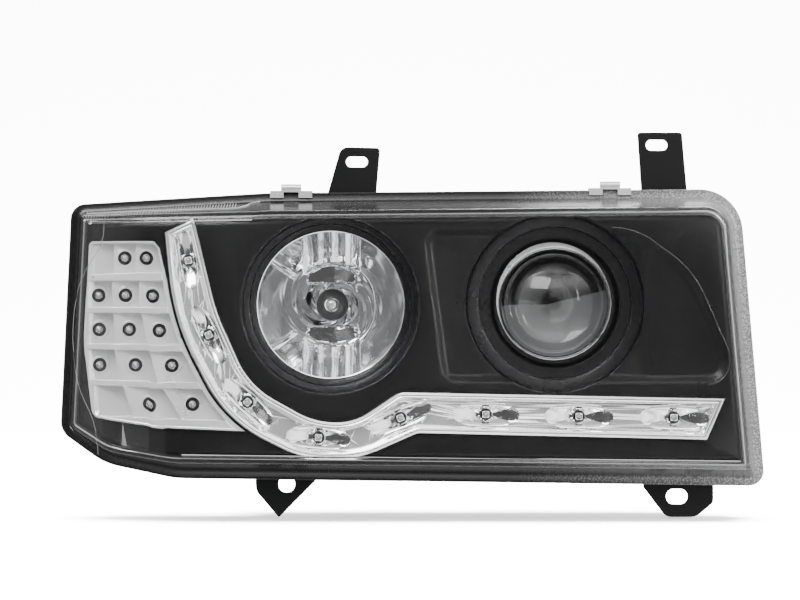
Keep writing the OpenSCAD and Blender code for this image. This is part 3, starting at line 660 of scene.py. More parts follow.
def makeBezel():
    gap, lip = bezel["gap"], bezel["lip"]
    rims = [[plan(p) for p in rimRing(bezel["inset"], gap, 0, d)] for d in (0, 0.4, 1.4, 3, 5)]
    outer = rims[0]
    recess = [rounded(inset(bezel["recess"], bezel["recessRound"] * k / 6), 10) for k in range(7)]
    stripHole = rounded(inset(drlOutline, -0.4), 10)
    stripGap = rounded(inset(drlOutline, -1.2), 10)
    signalHole = rounded(inset(signalOutline, -0.4), 8)
    ports = [(mainAt, bezel["mainPort"], bezel["mainDepth"]), (dipAt, bezel["dipPort"], bezel["dipDepth"])]
    mouths = [circle(at, bezel["mouth"] + lip * k / 3) for at, _, _ in ports for k in range(4)]
    uprights = [[(x, 0), (x, 180)] for x in [shell["wrapStart"] - 4 * k for k in range(29)]]
    folds = [[(x + dx, z) for x, z in bezel["fold"]] for dx in (0, 3, 8, 20)]

    def keep(p):
        if not inside(p, outer) or inside(p, stripHole):
            return False
        if inside(p, signalHole) and not inside(p, stripGap):
            return False
        return all((p - at).length > bezel["mouth"] - 0.05 for at, _, _ in ports)

    def depth(x, z):
        p = Vector((x, z))
        y = faceY(x) + gap
        edge = edgeDistance(p, outer)
        if edge < bezel["edgeRound"]:
            r = bezel["edgeRound"]
            y += r - math.sqrt(max(0.0, r * r - (r - edge) ** 2))
        if x > 60 and inside(p, recess[0]):
            y += bezel["recessDepth"] * smooth(edgeDistance(p, recess[0]) / bezel["recessRound"])
            (x0, z0), (x1, z1) = bezel["fold"]
            past = x - (x0 + (x1 - x0) * (z - z0) / (z1 - z0))
            inner = smooth(edgeDistance(p, recess[0]) / 12)
            y -= bezel["foldRise"] * smooth(past / 8) * (1 - 0.6 * smooth(past / 50)) * inner
        for at, _, _ in ports:
            beyond = (p - at).length - bezel["mouth"]
            if beyond < lip:
                y += lip * (1 - math.sqrt(max(0.0, 1 - (1 - max(0.0, beyond) / lip) ** 2)))
        return y

    loops = [*rims, *recess, stripHole, stripGap, signalHole, *mouths]
    bm = sheetMesh(loops, [*uprights, *folds], keep, depth)
    rimEdges = openEdges(bm, lambda c: edgeDistance((c.x, c.z), outer) < 0.1)
    mouthEdges = [openEdges(bm, lambda c: abs((plan(c) - at).length - bezel["mouth"]) < 0.3)
                  for at, _, _ in ports]
    taken = set(rimEdges).union(*mouthEdges)
    holeEdges = [e for e in openEdges(bm) if e not in taken]
    front = shell["front"] + gap + lip
    for edges, (at, port, depthTo) in zip(mouthEdges, ports):
        mid = (bezel["mouth"] + port) / 2
        steps = [(bezel["mouth"] - 0.3, 0.8), (bezel["mouth"] - 0.9, depthTo * 0.4),
                 (mid + 0.5, depthTo * 0.46), (mid, depthTo * 0.5), (mid - 0.5, depthTo * 0.8),
                 (port + 0.8, depthTo - 1.1), (port, depthTo - 0.4), (port, depthTo + 0.6)]
        for r, back in steps:
            def toRing(c, r=r, back=back):
                flat = (plan(c) - at).normalized() * r + at
                return Vector((flat.x, front + back, flat.y))
            edges = pullEdges(bm, edges, toRing)

    def toSkirt(c):
        k = min(range(len(outer)), key=lambda i: (outer[i] - plan(c)).length)
        q = rimPoint(k, bezel["inset"] + draft(bezel["skirt"]))
        return Vector((q.x, bezel["skirt"], q.y))
    pullEdges(bm, rimEdges, toSkirt)
    pullEdges(bm, holeEdges, lambda c: c + Vector((0, 3.0, 0)))
    piece = newPiece("inner_bezel", bm, bezelBlack, sharp=32)
    thicken(piece, bezel["wall"])
    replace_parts(piece, "bezel")
    at, port, depthTo = ports[0]
    lineY = front + depthTo
    ring = [(port + 0.1, lineY - 0.6), (port - 0.35, lineY - 0.45), (port - 0.5, lineY),
            (port + 0.1, lineY + 0.4)]
    # painted light: the rim takes the paler soft chrome so it shows as a bright line
    newPiece("main_port_rim", turnedMesh(at, ring, 128), softChromePaintedLight)


makeBezel()
bead = [p for p in rounded(bezel["recess"], 10) if p.x > 140]
beadLine = [(p.x, shell["front"] + bezel["gap"] - 0.1, p.y) for p in bead]
makeLine("recess_bead", beadLine, 0.45, gloss)
print("bezel made")


strip = {
    "front": 10.0, "floor": 15.8, "back": 20.4, "wall": 0.8,
    "pocketDepth": 4.2, "crease": 2.4, "hole": 3.0, "collar": 3.7,
    "turns": [-81, -64, -43, -5, 22, -1, -1, -1],
    "sizes": [(17.5, 6.0), (19, 6.6), (19.3, 7.0), (19.2, 7.4), (19.6, 6.8), (20, 7.8), (20.5, 8.0),
              (20.5, 8.0)],
}
drlLamps = lampCentres("drl_leds")
# across the strip's edge, as (distance in from the edge, depth behind front)
stripProfile = [(0, 0.7), (0.3, 0.15), (0.9, 0), (1.5, 0.15), (1.65, 2.4), (1.95, 2.4), (2.15, 1.1),
                (2.7, 0.9), (3.3, 1.2), (3.7, 2.2), (4.6, 5.2), (5.1, 5.8)]


def profileAt(points, d):
    for (d0, y0), (d1, y1) in zip(points, points[1:]):
        if d < d1:
            return y0 + (y1 - y0) * max(0.0, d - d0) / (d1 - d0)
    return points[-1][1]


def makeStrip():
    edge = rounded(drlOutline, 12)
    loops = [edge] + [rounded(inset(drlOutline, d), 12) for d, _ in stripProfile[1:]]
    pockets = []
    lines = [[(x, 0), (x, 180)] for x in [shell["wrapStart"] - 3 * k for k in range(19)]]
    for at, turn, (a, b) in zip(drlLamps, strip["turns"], strip["sizes"]):
        u = Vector((math.cos(math.radians(turn)), math.sin(math.radians(turn))))
        v = Vector((-u.y, u.x))
        pockets.append((at, u, v, a, b))
        for s in (1, 0.985, 0.94, 0.86, 0.76, 0.64, 0.5):
            loops.append([at + u * a * s * math.cos(w) + v * b * s * math.sin(w)
                          for w in [2 * math.pi * k / 56 for k in range(56)]])
        loops += [circle(at, r, 32) for r in (strip["hole"], strip["collar"], strip["collar"] + 0.3)]
        for w in (35, 145, 215, 325):
            c, s = math.cos(math.radians(w)), math.sin(math.radians(w))
            lines.append([at + u * a * t * c + v * b * t * s for t in (0.45, 0.7, 1.0)])

    def keep(p):
        return inside(p, edge) and all((p - at).length > strip["hole"] - 0.02 for at in drlLamps)

    def depth(x, z):
        p = Vector((x, z))
        d = edgeDistance(p, edge)
        y = strip["front"] + profileAt(stripProfile, d)
        for at, u, v, a, b in pockets:
            r = (p - at).length
            s, t = (p - at).dot(u) / a, (p - at).dot(v) / b
            q = s * s + t * t
            if q < 1 and d > 3.4:
                w = math.atan2(t, s)
                fold = abs(math.sin(w - math.radians(35)) * math.sin(w + math.radians(35)))
                hollow = strip["floor"] + strip["pocketDepth"] * (1 - q) + 0.35
                y = max(y, min(hollow - strip["crease"] * fold * 4 * q * (1 - q), strip["back"] - 0.9))
            if r < strip["collar"] + 0.3:
                y = blendTo(strip["floor"] + 1.6, y, (r - strip["collar"]) / 0.3)
        return faceY(x) + y

    bm = sheetMesh(loops, lines, keep, depth)
    # painted light and shade: faces inside the lamp pockets take the darker mirror chrome, the rims the paler
    # soft chrome
    for f in bm.faces:
        c = f.calc_center_median()
        p = plan(c)
        near = min(((p - at).dot(u) / a) ** 2 + ((p - at).dot(v) / b) ** 2 for at, u, v, a, b in pockets)
        f.material_index = 1 if near < 1 else 0
    pullEdges(bm, openEdges(bm), lambda c: Vector((c.x, faceY(c.x) + strip["back"], c.z)))
    piece = newPiece("daytime_strip", bm, softChromePaintedLight, sharp=26, more=(mirrorChrome,))
    thicken(piece, strip["wall"])
    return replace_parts(piece, "drl_reflector")


stripLed = {"side": 4.0, "corner": 0.7, "plate": 1.3, "dome": 1.25, "stem": 2.2, "reach": 4.6}


def makeStripLeds():
    sizes = inMetres(stripLed)
    tree, given = startTree("stripLed", Chip=None, Lens=None, Post=None, **sizes)
    side = given["Side"]
    square = put(tree, "GeometryNodeCurvePrimitiveQuadrilateral", {"Width": side, "Height": side})
    soft = put(tree, "GeometryNodeFilletCurve", {"Curve": square[0], "Radius": given["Corner"], "Count": 4},
               mode="POLY")
    filled = put(tree, "GeometryNodeFillCurve", {"Curve": soft[0]})[0]
    slab = put(tree, "GeometryNodeExtrudeMesh", {"Mesh": filled, "Offset Scale": given["Plate"],
                                                 "Individual": False})["Mesh"]
    under = put(tree, "GeometryNodeFlipFaces", {"Mesh": filled})[0]
    plate = painted(tree, joined(tree, slab, under), given["Chip"])
    ball = put(tree, "GeometryNodeMeshUVSphere", {"Segments": 24, "Rings": 12, "Radius": given["Dome"]})[0]
    dome = painted(tree, raised(tree, ball, given["Plate"]), given["Lens"])
    ring = hoop(tree, 8, calc(tree, "MULTIPLY", given["Dome"], 1.25), 0.2 * mm, given["Plate"])
    stem = rod(tree, 24, given["Stem"], given["Reach"], calc(tree, "MULTIPLY", given["Reach"], -0.5))
    dark = painted(tree, joined(tree, ring, stem), given["Post"])
    endTree(tree, onPoints(tree, given, joined(tree, plate, dome, dark)))
    points = [(p.x, faceY(p.x) + strip["floor"] - 0.4, p.y) for p in drlLamps]
    turns = [(math.pi / 2, 0, 0) if abs(t) < 3 else (math.pi / 2, math.radians(-t) % (math.pi / 2), 0)
             for t in strip["turns"]]
    piece = grow("daytime_leds", tree, {**sizes, "Chip": chipWhite, "Lens": ledDome, "Post": ledBody}, points,
                 {"turn": turns})
    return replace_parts(piece, "drl_leds")


makeStrip()
makeStripLeds()
print("daytime strip made")


signal = {
    "gap": 1.6, "pad": 14.0, "shelf": 9.0, "border": 9.6, "borderWidth": 2.2, "rim": 0.9, "sideWall": 4.2,
    "step": 0.5, "riser": 0.3, "hole": 4.1, "collar": 5.3, "collarRise": 0.6, "wall": 0.7, "top": 145.0,
    "tiltAt": -95.0, "slopeBefore": -103.0, "slopeSpan": (42.0, 142.0),
    # rows from the top: (top, bottom, tilt, first lamp x, spacing, lamps, blank outer cell, riser slants)
    "rows": [(145.0, 125.7, 0.035, -94.5, 13.0, 2, True, (0.0, 0.0)),
             (122.0, 105.7, 0.006, -110.5, 16.4, 3, False, (0.02, 0.02)),
             (103.0, 84.0, -0.005, -110.2, 18.3, 3, False, (0.07, 0.2)),
             (81.0, 62.4, -0.02, -109.9, 21.8, 3, False, (0.19, 0.29)),
             (59.6, 41.0, -0.03, -79.5, 25.5, 2, True, (0.35, 0.59))],
}
signalLamps = lampCentres("indicator_leds")


def signalRow(x, z):  # the row band at a point and how far inside the band it is; None on a shelf
    for row in signal["rows"]:
        top, bottom, tilt = row[:3]
        lift = tilt * (x - signal["tiltAt"])
        within = min(top + (0 if top == signal["top"] else lift) - z, z - bottom - lift)
        if within > -1e-4:
            return row, within
    return None, 0.0


def cellEdges(row):  # the risers of a row, as (x at mid height, slant, depths left and right)
    top, bottom, _, first, spacing, count, blank, slants = row
    lamps = [first + k * spacing for k in range(count)]
    if blank:
        lamps.insert(0, first - spacing)
    edges = []
    for k in range(len(lamps) - 1):
        slant = slants[k] if k < len(slants) else slants[-1]
        edges.append(((lamps[k] + lamps[k + 1]) / 2, slant, faceY(lamps[k]), faceY(lamps[k + 1])))
    return edges, (top + bottom) / 2, faceY(lamps[0])


def padDepth(row, x, z):
    edges, mid, y = cellEdges(row)
    for xb, slant, _, right in edges:
        past = x - (xb + slant * (mid - z))
        y = blendTo(y, right, (past + signal["riser"]) / (2 * signal["riser"]))
    return y + signal["pad"]


def makeSignal():
    panel = rounded(signalOutline, 10)
    grown = rounded(inset(drlOutline, -signal["gap"]), 12)
    border = signal["borderWidth"]
    loops = [panel, grown]
    insets = (signal["rim"], signal["rim"] + signal["step"], signal["sideWall"])
    loops += [rounded(inset(signalOutline, d), 10) for d in insets]
    insets = (0.3, border, border + signal["step"])
    loops += [rounded(inset(drlOutline, -signal["gap"] - d), 12) for d in insets]
    steps = (signal["hole"], signal["hole"] + 0.2, signal["collar"] - 0.25, signal["collar"])
    loops += [circle(at, r, 40) for at in signalLamps for r in steps]
    lines = [[(x, 30), (x, 150)] for x in [shell["wrapStart"] - 3.1 * k for k in range(33)]]
    for row in signal["rows"]:
        top, bottom, tilt = row[:3]
        for z0, way in ((top, -1), (bottom, 1)):
            for d in (0, signal["step"]) if z0 != signal["top"] else ():
                lines.append([(x, z0 + tilt * (x - signal["tiltAt"]) + way * d) for x in (-124, 0)])
        for xb, slant, _, _ in cellEdges(row)[0]:
            mid = (top + bottom) / 2
            for d in (-signal["riser"], signal["riser"]):
                lines.append([(xb + d + slant * (mid - z), z) for z in (top + 1.5, bottom - 1.5)])

    def keep(p):
        if not inside(p, panel) or inside(p, grown):
            return False
        return all((p - at).length > signal["hole"] - 0.02 for at in signalLamps)

    def depth(x, z):
        p = Vector((x, z))
        face = faceY(x)
        row, within = signalRow(x, z)
        shelf = face + signal["shelf"]
        y = blendTo(shelf, padDepth(row, x, z), within / signal["step"]) if row else shelf
        for at in signalLamps:
            r = (p - at).length
            if r < signal["collar"]:
                y -= signal["collarRise"] * min(1.0, (signal["collar"] - r) / 0.25)
        sloped = x < signal["slopeBefore"] and signal["slopeSpan"][0] < z < signal["slopeSpan"][1]
        run = signal["sideWall"] - signal["rim"] if sloped else signal["step"]
        y = blendTo(face + signal["shelf"] - 0.3, y, (edgeDistance(p, panel) - signal["rim"]) / run)
        d = edgeDistance(p, grown)
        return blendTo(face + signal["border"], y, (d - border) / signal["step"])

    bm = sheetMesh(loops, lines, keep, depth)
    holeEdges, sideEdges = [], []
    for e in openEdges(bm):
        c = (e.verts[0].co + e.verts[1].co) / 2
        hole = min((plan(c) - at).length for at in signalLamps) < signal["hole"] + 0.2
        (holeEdges if hole else sideEdges).append(e)
    # painted shade: the walls pulled back from the lamp holes take the black of the second slot, darkening
    # the holes round the lamps
    for e in pullEdges(bm, holeEdges, lambda c: c + Vector((0, 3.0, 0))):
        for f in e.link_faces:
            f.material_index = 1
    pullEdges(bm, sideEdges, lambda c: Vector((c.x, max(c.y + 2, faceY(c.x) + signal["pad"] + 3), c.z)))
    piece = newPiece("signal_panel", bm, padChrome, sharp=24,
                     more=(barrelBlack,))
    thicken(piece, signal["wall"])
    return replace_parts(piece, "indicator_reflector")


signalLed = {"radius": 2.35, "foot": 3.9, "reach": 5.6, "ring": 1.35}


def makeSignalLeds():
    sizes = inMetres(signalLed)
    tree, given = startTree("signalLed", Lens=None, Body=None, **sizes)
    ball = put(tree, "GeometryNodeMeshUVSphere", {"Segments": 28, "Rings": 16, "Radius": given["Radius"]})[0]
    tube = rod(tree, 28, given["Radius"], given["Reach"], calc(tree, "MULTIPLY", given["Reach"], -0.5))
    foot = rod(tree, 28, given["Foot"], 1.5 * mm, calc(tree, "SUBTRACT", 0.75 * mm, given["Reach"]))
    ring = hoop(tree, 6, given["Ring"], 0.16 * mm, calc(tree, "MULTIPLY", given["Radius"], 0.84))
    clear = painted(tree, joined(tree, ball, tube), given["Lens"])
    dark = painted(tree, joined(tree, ring, foot), given["Body"])
    endTree(tree, onPoints(tree, given, joined(tree, clear, dark), (math.pi / 2, 0, 0)))
    points = [(p.x, faceY(p.x) + signal["pad"] - 0.5, p.y) for p in signalLamps]
    piece = grow("signal_leds", tree, {**sizes, "Lens": ledDome, "Body": ledBody}, points)
    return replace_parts(piece, "indicator_leds")


makeSignal()
makeSignalLeds()
print("turn signal made")


bowl = {
    "focal": 12.0, "rim": 45.6, "hole": 9.7, "lift": 0.35, "wall": 0.25, "fluteHalf": 16.6, "fluteFrom": 24.0,
    "fluteDepth": 1.1, "flutePitch": 8.2, "ridgeTurns": (143, 217), "ridge": 1.2, "blockHalf": 14.5,
    "blockFrom": 12.5, "blockReach": 11.4, "cheek": 1.5, "waver": 0.3,
}


def makeBowl():
    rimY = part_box("main_reflector")[0].y / mm
    vertexY = rimY + 46 * 46 / (4 * bowl["focal"])
    turns, rings = 300, 64
    bm = bmesh.new()
    rows = []
    for i in range(rings + 1):
        r = bowl["hole"] + (bowl["rim"] - bowl["hole"]) * i / rings
        row = []
        for k in range(turns):
            a = 2 * math.pi * k / turns
            x, z = r * math.cos(a), r * math.sin(a)
            y = vertexY - r * r / (4 * bowl["focal"]) - bowl["lift"]
            side = smooth((bowl["fluteHalf"] - abs(x)) / 1.2)
            band = smooth((r - bowl["fluteFrom"]) / 1.5) * smooth((bowl["rim"] - r) / 1.5)
            wave = abs(math.sin(math.pi * x / bowl["flutePitch"]))
            y -= side * band * (0.5 + bowl["fluteDepth"] * wave)
            y += bowl["waver"] * math.sin(5 * a + 0.4 * r) * math.sin(0.5 * r) * smooth((34 - r) / 10)
            if abs(z) < bowl["fluteFrom"] and abs(z) > bowl["blockFrom"] and r < bowl["fluteFrom"] + 4:
                shelf = vertexY - bowl["blockReach"]  # flat blocks above and below the bulb
                edge = smooth((bowl["blockHalf"] - abs(x)) / 0.8) * smooth((abs(z) - bowl["blockFrom"]) / 0.8)
                y = blendTo(y, min(y, shelf), edge * smooth((bowl["fluteFrom"] - abs(z)) / 0.8))
            spread = math.cos(a)  # a hollow crescent on the inboard side of the bulb
            if spread > 0:
                y -= bowl["cheek"] * smooth(spread * 1.6) * smooth((r - 14) / 2) * smooth((26.5 - r) / 1.2)
            for turn in bowl["ridgeTurns"]:
                off = r * math.sin(a - math.radians(turn))
                if math.cos(a - math.radians(turn)) > 0:
                    y -= bowl["ridge"] * math.exp(-(off / 0.9) ** 2) * smooth((r - 26) / 3)
            row.append(bm.verts.new((mainAt.x + x, y, mainAt.y + z)))
        rows.append(row)
    bridge(bm, rows)
    bmesh.ops.recalc_face_normals(bm, faces=bm.faces)
    if sum(f.normal.y for f in bm.faces) > 0:
        bmesh.ops.reverse_faces(bm, faces=bm.faces)
    # painted light: faces facing straight forward keep the darker mirror chrome, the rest of the bowl the
    # paler bowl chrome
    for f in bm.faces:
        f.material_index = 1 if f.normal.y < -0.995 else 0
    piece = newPiece("main_bowl_face", bm, bowlChromePaintedLight, body="beam_carrier", sharp=30,
                     more=(mirrorChrome,))
    thicken(piece, bowl["wall"])


bulb = {"radius": 4.4, "capLength": 6.5, "nipple": 1.3}


def makeBulb(node, body, capped):
    low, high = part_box(node)
    at = nodeCentre(node)
    tip, seat, r = low.y / mm, high.y / mm, bulb["radius"]
    arc = [(r * math.sin(math.pi / 2 * k / 8), tip + r - r * math.cos(math.pi / 2 * k / 8)) for k in range(9)]
    inner = [(x * 0.86, y + 0.62) for x, y in reversed(arc)]
    bm = turnedMesh(at, [*arc, (r, seat - 0.2), (r - 0.62, seat - 0.2), *inner], 48, closed=False)
    piece = newPiece(node + "_glass", bm, lampGlass, body=body)
    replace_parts(piece, node)
    shade = [(0, tip + 0.7), (bulb["nipple"], tip + 0.72), (bulb["nipple"], tip + 1.0), (2.4, tip + 1.4),
             (3.2, tip + 2.6), (3.5, tip + 4.6), (3.5, tip + bulb["capLength"]),
             (3.3, tip + bulb["capLength"]), (3.3, tip + 4.6), (0, tip + 3.0)]
    if capped:
        newPiece(node + "_tip", turnedMesh(at, shade, 48, closed=False), zincSteel, body=body)
    support = [(0, seat - 22), (0.7, seat - 22), (0.7, seat - 10), (1.6, seat - 9), (1.6, seat - 4),
               (3.4, seat - 3), (3.4, seat - 0.4), (0, seat - 0.4)]
    newPiece(node + "_support", turnedMesh(at, support, 24, closed=False), zincSteel, body=body)


def makeProjector():
    low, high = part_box("projector_lens")
    front, back = low.y / mm, high.y / mm
    r, edge = (high.x - low.x) / 2 / mm, 31.1
    dome = 19.0
    big = (edge * edge + dome * dome) / (2 * dome)
    steps = 32
    arc = [(big * math.sin(a), front + big * (1 - math.cos(a)))
           for a in [math.asin(edge / big) * k / steps for k in range(steps + 1)]]
    profile = [*arc, (edge + 0.1, front + dome + 0.1), (r - 0.2, front + dome + 0.1), (r, front + dome + 0.3),
               (r, back - 0.2), (r - 0.2, back), (20, back), (0, back)]
    bm = turnedMesh(dipAt, profile, 128, closed=False)
    piece = newPiece("projector_dome", bm, lampGlass, body="beam_carrier", sharp=35)
    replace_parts(piece, "projector_lens")
    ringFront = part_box("projector_lens_ring")[0].y / mm
    tube = [(32.1, ringFront - 0.35), (32.5, ringFront - 0.75), (33.0, ringFront - 0.75),
            (33.3, ringFront - 0.3), (33.3, ringFront), (32.1, ringFront)]
    newPiece("projector_rim_line", turnedMesh(dipAt, tube, 128), mirrorChrome, body="beam_carrier")
    # painted reflection: a grey satin crescent on the port tube, widest at the upper left, standing for the
    # reflection on the tube's inner wall
    bm = bmesh.new()
    rows = []
    n = 128
    for inner, y in ((0.0, ringFront - 0.2), (0.5, ringFront - 1.6), (1.0, ringFront - 2.6),
                     (1.0, ringFront - 1.4), (0.0, ringFront)):
        row = []
        for k in range(n):
            a = 2 * math.pi * k / n
            reflectionWidth = 2.7 * max(0.0, math.cos(a - math.radians(112))) ** 1.3
            radius = 33.2 + (0.15 + reflectionWidth) * inner + (0.25 if y == ringFront - 1.4 else 0)
            p = dipAt + radius * Vector((math.cos(a), math.sin(a)))
            row.append(bm.verts.new((p.x, y, p.y)))
        rows.append(row)
    bridge(bm, rows, closed=True)
    bmesh.ops.recalc_face_normals(bm, faces=bm.faces)
    newPiece("projector_painted_reflection", bm, padChrome, body="beam_carrier")


makeBowl()
makeBulb("main_bulb_glass", "beam_carrier", True)
makeBulb("dip_bulb_glass", "beam_carrier", False)
makeProjector()
print("lamps made")


screwRecess = 1.3  # radius of the hexagon in the head


def screwTree():
    tree, given = startTree("screwTree", Head=3.2 * mm, Shank=1.5 * mm, Length=10.0 * mm, Material=None)
    outer = put(tree, "GeometryNodeCurvePrimitiveCircle", {"Resolution": 32, "Radius": given["Head"]})[0]
    hexagon = put(tree, "GeometryNodeCurvePrimitiveCircle", {"Resolution": 6, "Radius": screwRecess * mm})[0]
    face = put(tree, "GeometryNodeFillCurve", {"Curve": joined(tree, outer, hexagon)})[0]
    top = put(tree, "GeometryNodeExtrudeMesh", {"Mesh": face, "Offset Scale": 0.8 * mm,
                                                "Individual": False})["Mesh"]
    low = rod(tree, 32, given["Head"], 1.2 * mm, -0.6 * mm)
    shank = rod(tree, 16, given["Shank"], given["Length"], calc(tree, "MULTIPLY", given["Length"], -0.5))
    placed = onPoints(tree, given, joined(tree, top, low, shank))
    return endTree(tree, painted(tree, placed, given["Material"]))


def makeScrews():
    tree = screwTree()
    for node, body in (("bezel_screws", "root"), ("main_reflector_screws", "beam_carrier"),
                       ("projector_screws", "beam_carrier"), ("bracket_screws", "root")):
        boxes = nodeIslands(node)
        points, turns = [], []
        upright = node == "bracket_screws"
        for low, high in boxes:
            mid = (low + high) / 2
            above = mid.z > shell["middle"]
            if not upright:
                points.append((mid.x, low.y + 0.8, mid.z))
            else:
                points.append((mid.x, mid.y, high.z - 0.8 if above else low.z + 0.8))
            turns.append(((0 if above else math.pi) if upright else math.pi / 2, 0, 0))
        low, high = boxes[0]
        length = (high.z - low.z if upright else high.y - low.y) - 0.8
        values = {"Head": (high.x - low.x) / 2 * mm, "Length": length * mm, "Material": zincSteel}
        piece = grow(node + "_hex", tree, values, points, {"turn": turns}, body=body)
        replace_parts(piece, node)


makeScrews()
print("screws made")


cap = {
    "inner": 36.1, "outer": 38.4, "mouth": 63.0, "back": 82.0, "grips": 48, "gripRadius": 0.75,
    "gripLength": 8.0, "bar": (12.0, 6.0, 2.8),
}


def gripTree():  # rounded grips round the rim, standing on the points
    tree, given = startTree("capGrips", Radius=0.75 * mm, Length=8.0 * mm, Material=None)
    placed = onPoints(tree, given, rod(tree, 10, given["Radius"], given["Length"]), (math.pi / 2, 0, 0))
    return endTree(tree, painted(tree, placed, given["Material"]))


def makeCaps():
    tree = gripTree()
    y0, y1 = cap["mouth"], cap["back"]
    profile = [(cap["inner"], y0), (cap["outer"], y0), (cap["outer"], y0 + 2.2), (37.6, y0 + 2.8),
               (37.6, y1 - 8.2), (36.6, y1 - 6), (34.8, y1 - 1.6), (33.4, y1 - 0.3), (31, y1), (29.5, y1),
               (28.8, y1 - 0.9), (20.4, y1 - 0.9), (19.8, y1), (18, y1), (17.3, y1 - 0.9), (0, y1 - 0.9),
               (0, y1 - 2.4), (32, y1 - 2.4), (cap["inner"], y1 - 9.8)]
    for node, at in (("main_rear_cap", mainAt), ("dip_rear_cap", dipAt)):
        piece = newPiece(node + "_shell", turnedMesh(at, profile, 112, closed=False), sealRubber, body=node)
        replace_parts(piece, node)
        points = [(p.x, y0 + 6.8, p.y) for p in circle(at, 37.6, cap["grips"])]
        values = {"Radius": cap["gripRadius"] * mm, "Length": cap["gripLength"] * mm, "Material": sealRubber}
        grow(node + "_grips", tree, values, points, body=node)
        bm = bmesh.new()
        bmesh.ops.create_cube(bm, size=1.0)
        for v in bm.verts:
            taper = 0.8 if v.co.y > 0 else 1.0
            width, depth, height = cap["bar"]
            v.co = Vector((v.co.x * width * taper, v.co.y * depth, v.co.z * height * taper))
            v.co += Vector((at.x, y1 + 2, at.y))
        bmesh.ops.bevel(bm, geom=bm.edges[:], offset=0.7, segments=3, affect="EDGES")
        newPiece(node + "_bar", bm, sealRubber, body=node)


makeCaps()
print("rear caps made")

studio = {
    "distance": 2.2, "frameWidth": 0.472, "look": (0.06785, 0.1103), "floorGap": 0.0005, "glow": 0.8,
    "sideWall": 1.1, "otherWall": 0.52, "frontWall": 1.8,
    # a pale ring in front, open in the middle: (cosine of the direction, on)
    "frontRing": [(0.74, 0), (0.82, 1), (0.965, 1), (0.985, 0)],
    # brightness of the room by height of the direction: (height from -1 to 1, strength)
    "room": [(-1.0, 0.9), (-0.5, 0.8), (-0.3, 0.16), (0.0, 0.1), (0.3, 0.12), (0.42, 0.9), (0.62, 3.6),
             (0.72, 3.8), (0.82, 1.2), (1.0, 1.0)],
    # lamps as (place from the middle, size, power, lights only the floor)
    "lamps": {
        "key": ((-0.8, -1.3, 1.35), (1.3, 0.9), 44, False),
        "side": ((1.15, -1.0, 0.4), (0.1, 0.5), 14, False),
        "low": ((-1.2, -0.6, -0.75), (0.1, 0.5), 8, False),
        "rear": ((0.5, 1.25, 0.95), (0.9, 0.7), 14, False),
        "wash": ((0.0, 0.1, 2.4), (2.6, 1.6), 1700, True),
    },
}


def makeWorld():
    world = bpy.data.worlds.new("studio")
    bpy.context.scene.world = world
    world.use_nodes = True
    nt = world.node_tree
    way = put(nt, "ShaderNodeTexCoord")["Generated"]
    parts = put(nt, "ShaderNodeSeparateXYZ", {0: way})
    peak = max(s for _, s in studio["room"])
    height = mapRange(nt, parts["Z"], -1.0, 1.0)
    room = ramped(nt, height, [((z + 1) / 2, [s / peak] * 3) for z, s in studio["room"]])
    outboard = calc(nt, "MULTIPLY", parts["X"], -studio["otherWall"])
    aside = calc(nt, "MAXIMUM", parts["X"], outboard)  # a pale wall on each side, weaker outboard
    side = mapRange(nt, aside, 0.35, 0.6, (0.0, studio["sideWall"] / peak))
    facing = put(nt, "ShaderNodeVectorMath", {0: way, 1: (0, -1, 0)}, operation="DOT_PRODUCT")["Value"]
    ring = ramped(nt, facing, [(at, [on] * 3) for at, on in studio["frontRing"]])
    inboard = mapRange(nt, parts["X"], -0.2, -0.05, (0.0, studio["frontWall"] / peak))
    walls = calc(nt, "ADD", calc(nt, "MULTIPLY", ring, inboard), side)
    feed(nt, nt.nodes["Background"].inputs, {"Color": calc(nt, "ADD", room, walls), "Strength": peak})


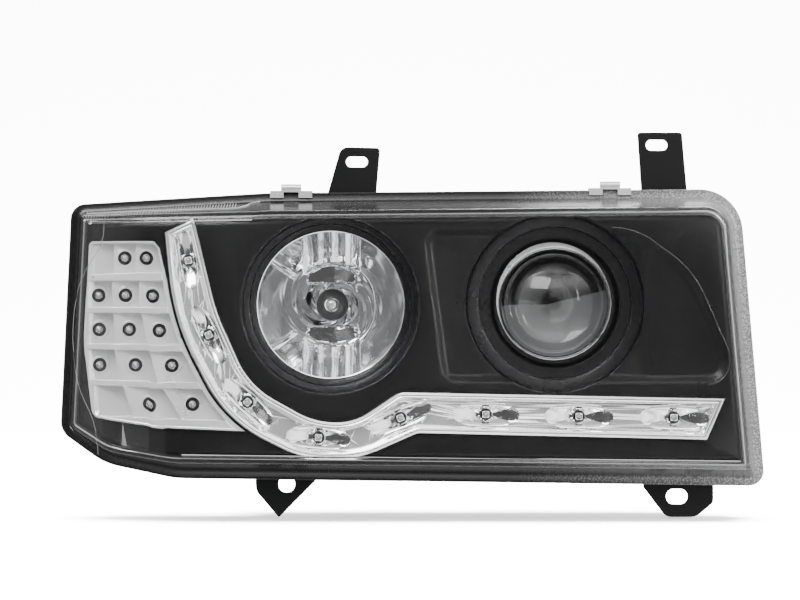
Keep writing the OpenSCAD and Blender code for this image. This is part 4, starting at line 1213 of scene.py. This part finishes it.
def makeStudio():
    low, high = cadBox
    camera = inScene("camera", bpy.data.cameras.new("camera"))
    camera.data.sensor_width = 36
    camera.data.lens = 36 * studio["distance"] / studio["frameWidth"]
    camera.location = (studio["look"][0], -0.035 - studio["distance"], studio["look"][1])
    camera.rotation_euler = (math.pi / 2, 0, 0)
    camera.data.clip_end = 20
    bpy.context.scene.camera = camera
    floorZ = low.z - studio["floorGap"]
    bend = [(1.6 + math.sin(a) * 1.2, floorZ + 1.2 - math.cos(a) * 1.2)
            for a in [math.pi / 2 * k / 12 for k in range(13)]]
    paper = paint("floor_paper", (0.95, 0.95, 0.95), rough=(0.8, 0.9), tone=0.003)
    glow = {"Emission Color": (1, 1, 1, 1), "Emission Strength": studio["glow"]}
    feed(paper.node_tree, paper.node_tree.nodes["Principled BSDF"].inputs, glow)
    onlyFloor = bpy.data.collections.new("floor_only")
    for name, line in (("floor", [(-4.0, floorZ), bend[0]]), ("backdrop", [*bend, (2.8, 4.0)])):
        mesh = bpy.data.meshes.new(name)
        faces = [(2 * k, 2 * k + 1, 2 * k + 3, 2 * k + 2) for k in range(len(line) - 1)]
        mesh.from_pydata([(x, y, z) for y, z in line for x in (-4.0, 4.0)], [], faces)
        mesh.polygons.foreach_set("use_smooth", [True] * len(mesh.polygons))
        mesh.materials.append(paper)
        sheet = inScene(name, mesh)
        sheet.visible_glossy = False
        sheet.visible_diffuse = False
        sheet.visible_transmission = False
        onlyFloor.objects.link(sheet)
    mid = (low + high) / 2
    for name, (place, size, power, wash) in studio["lamps"].items():
        lamp = bpy.data.lights.new(name, "AREA")
        lamp.shape = "RECTANGLE"
        lamp.size, lamp.size_y = size
        lamp.energy = power
        light = inScene(name, lamp)
        light.location = mid + Vector(place)
        light.rotation_euler = (mid - light.location).to_track_quat("-Z", "Y").to_euler()
        if wash:
            light.light_linking.receiver_collection = onlyFloor


makeWorld()
makeStudio()

finishes = {
    "housing connector_socket": casingGrain,
    "lens_seal leveller_seal vent_caps": sealRubber,
    "indicator_board drl_board": boardDark,
    "led_leads": leadSkin,
    "upper_outer_bracket upper_inner_bracket lower_outer_bracket lower_inner_bracket": bracketCoat,
    "pivot_stud main_bulb_terminal dip_bulb_terminal leveller_rod adjuster_rod": zincSteel,
    "leveller_motor carrier_frame leveller_knob": carrierBlack,
    "connector_pins": pinBrass,
    "pivot_bush leveller_ball_socket adjuster_ball_socket adjuster_knob": nylonWhite,
    "main_reflector": mirrorChrome,
    "main_bulb_base dip_bulb_base cutoff_shield": dullSteel,
    "projector_lens_ring projector_barrel": barrelBlack,
    "projector_reflector": castAluminiumPaintedShade,
    "main_bulb_clip dip_bulb_clip lens_clip_outer lens_clip_inner": springSteel,
}
for names, material in finishes.items():
    for node in names.split():
        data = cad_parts[node].data
        data.materials.clear()
        data.materials.append(material)
print("nodes painted")
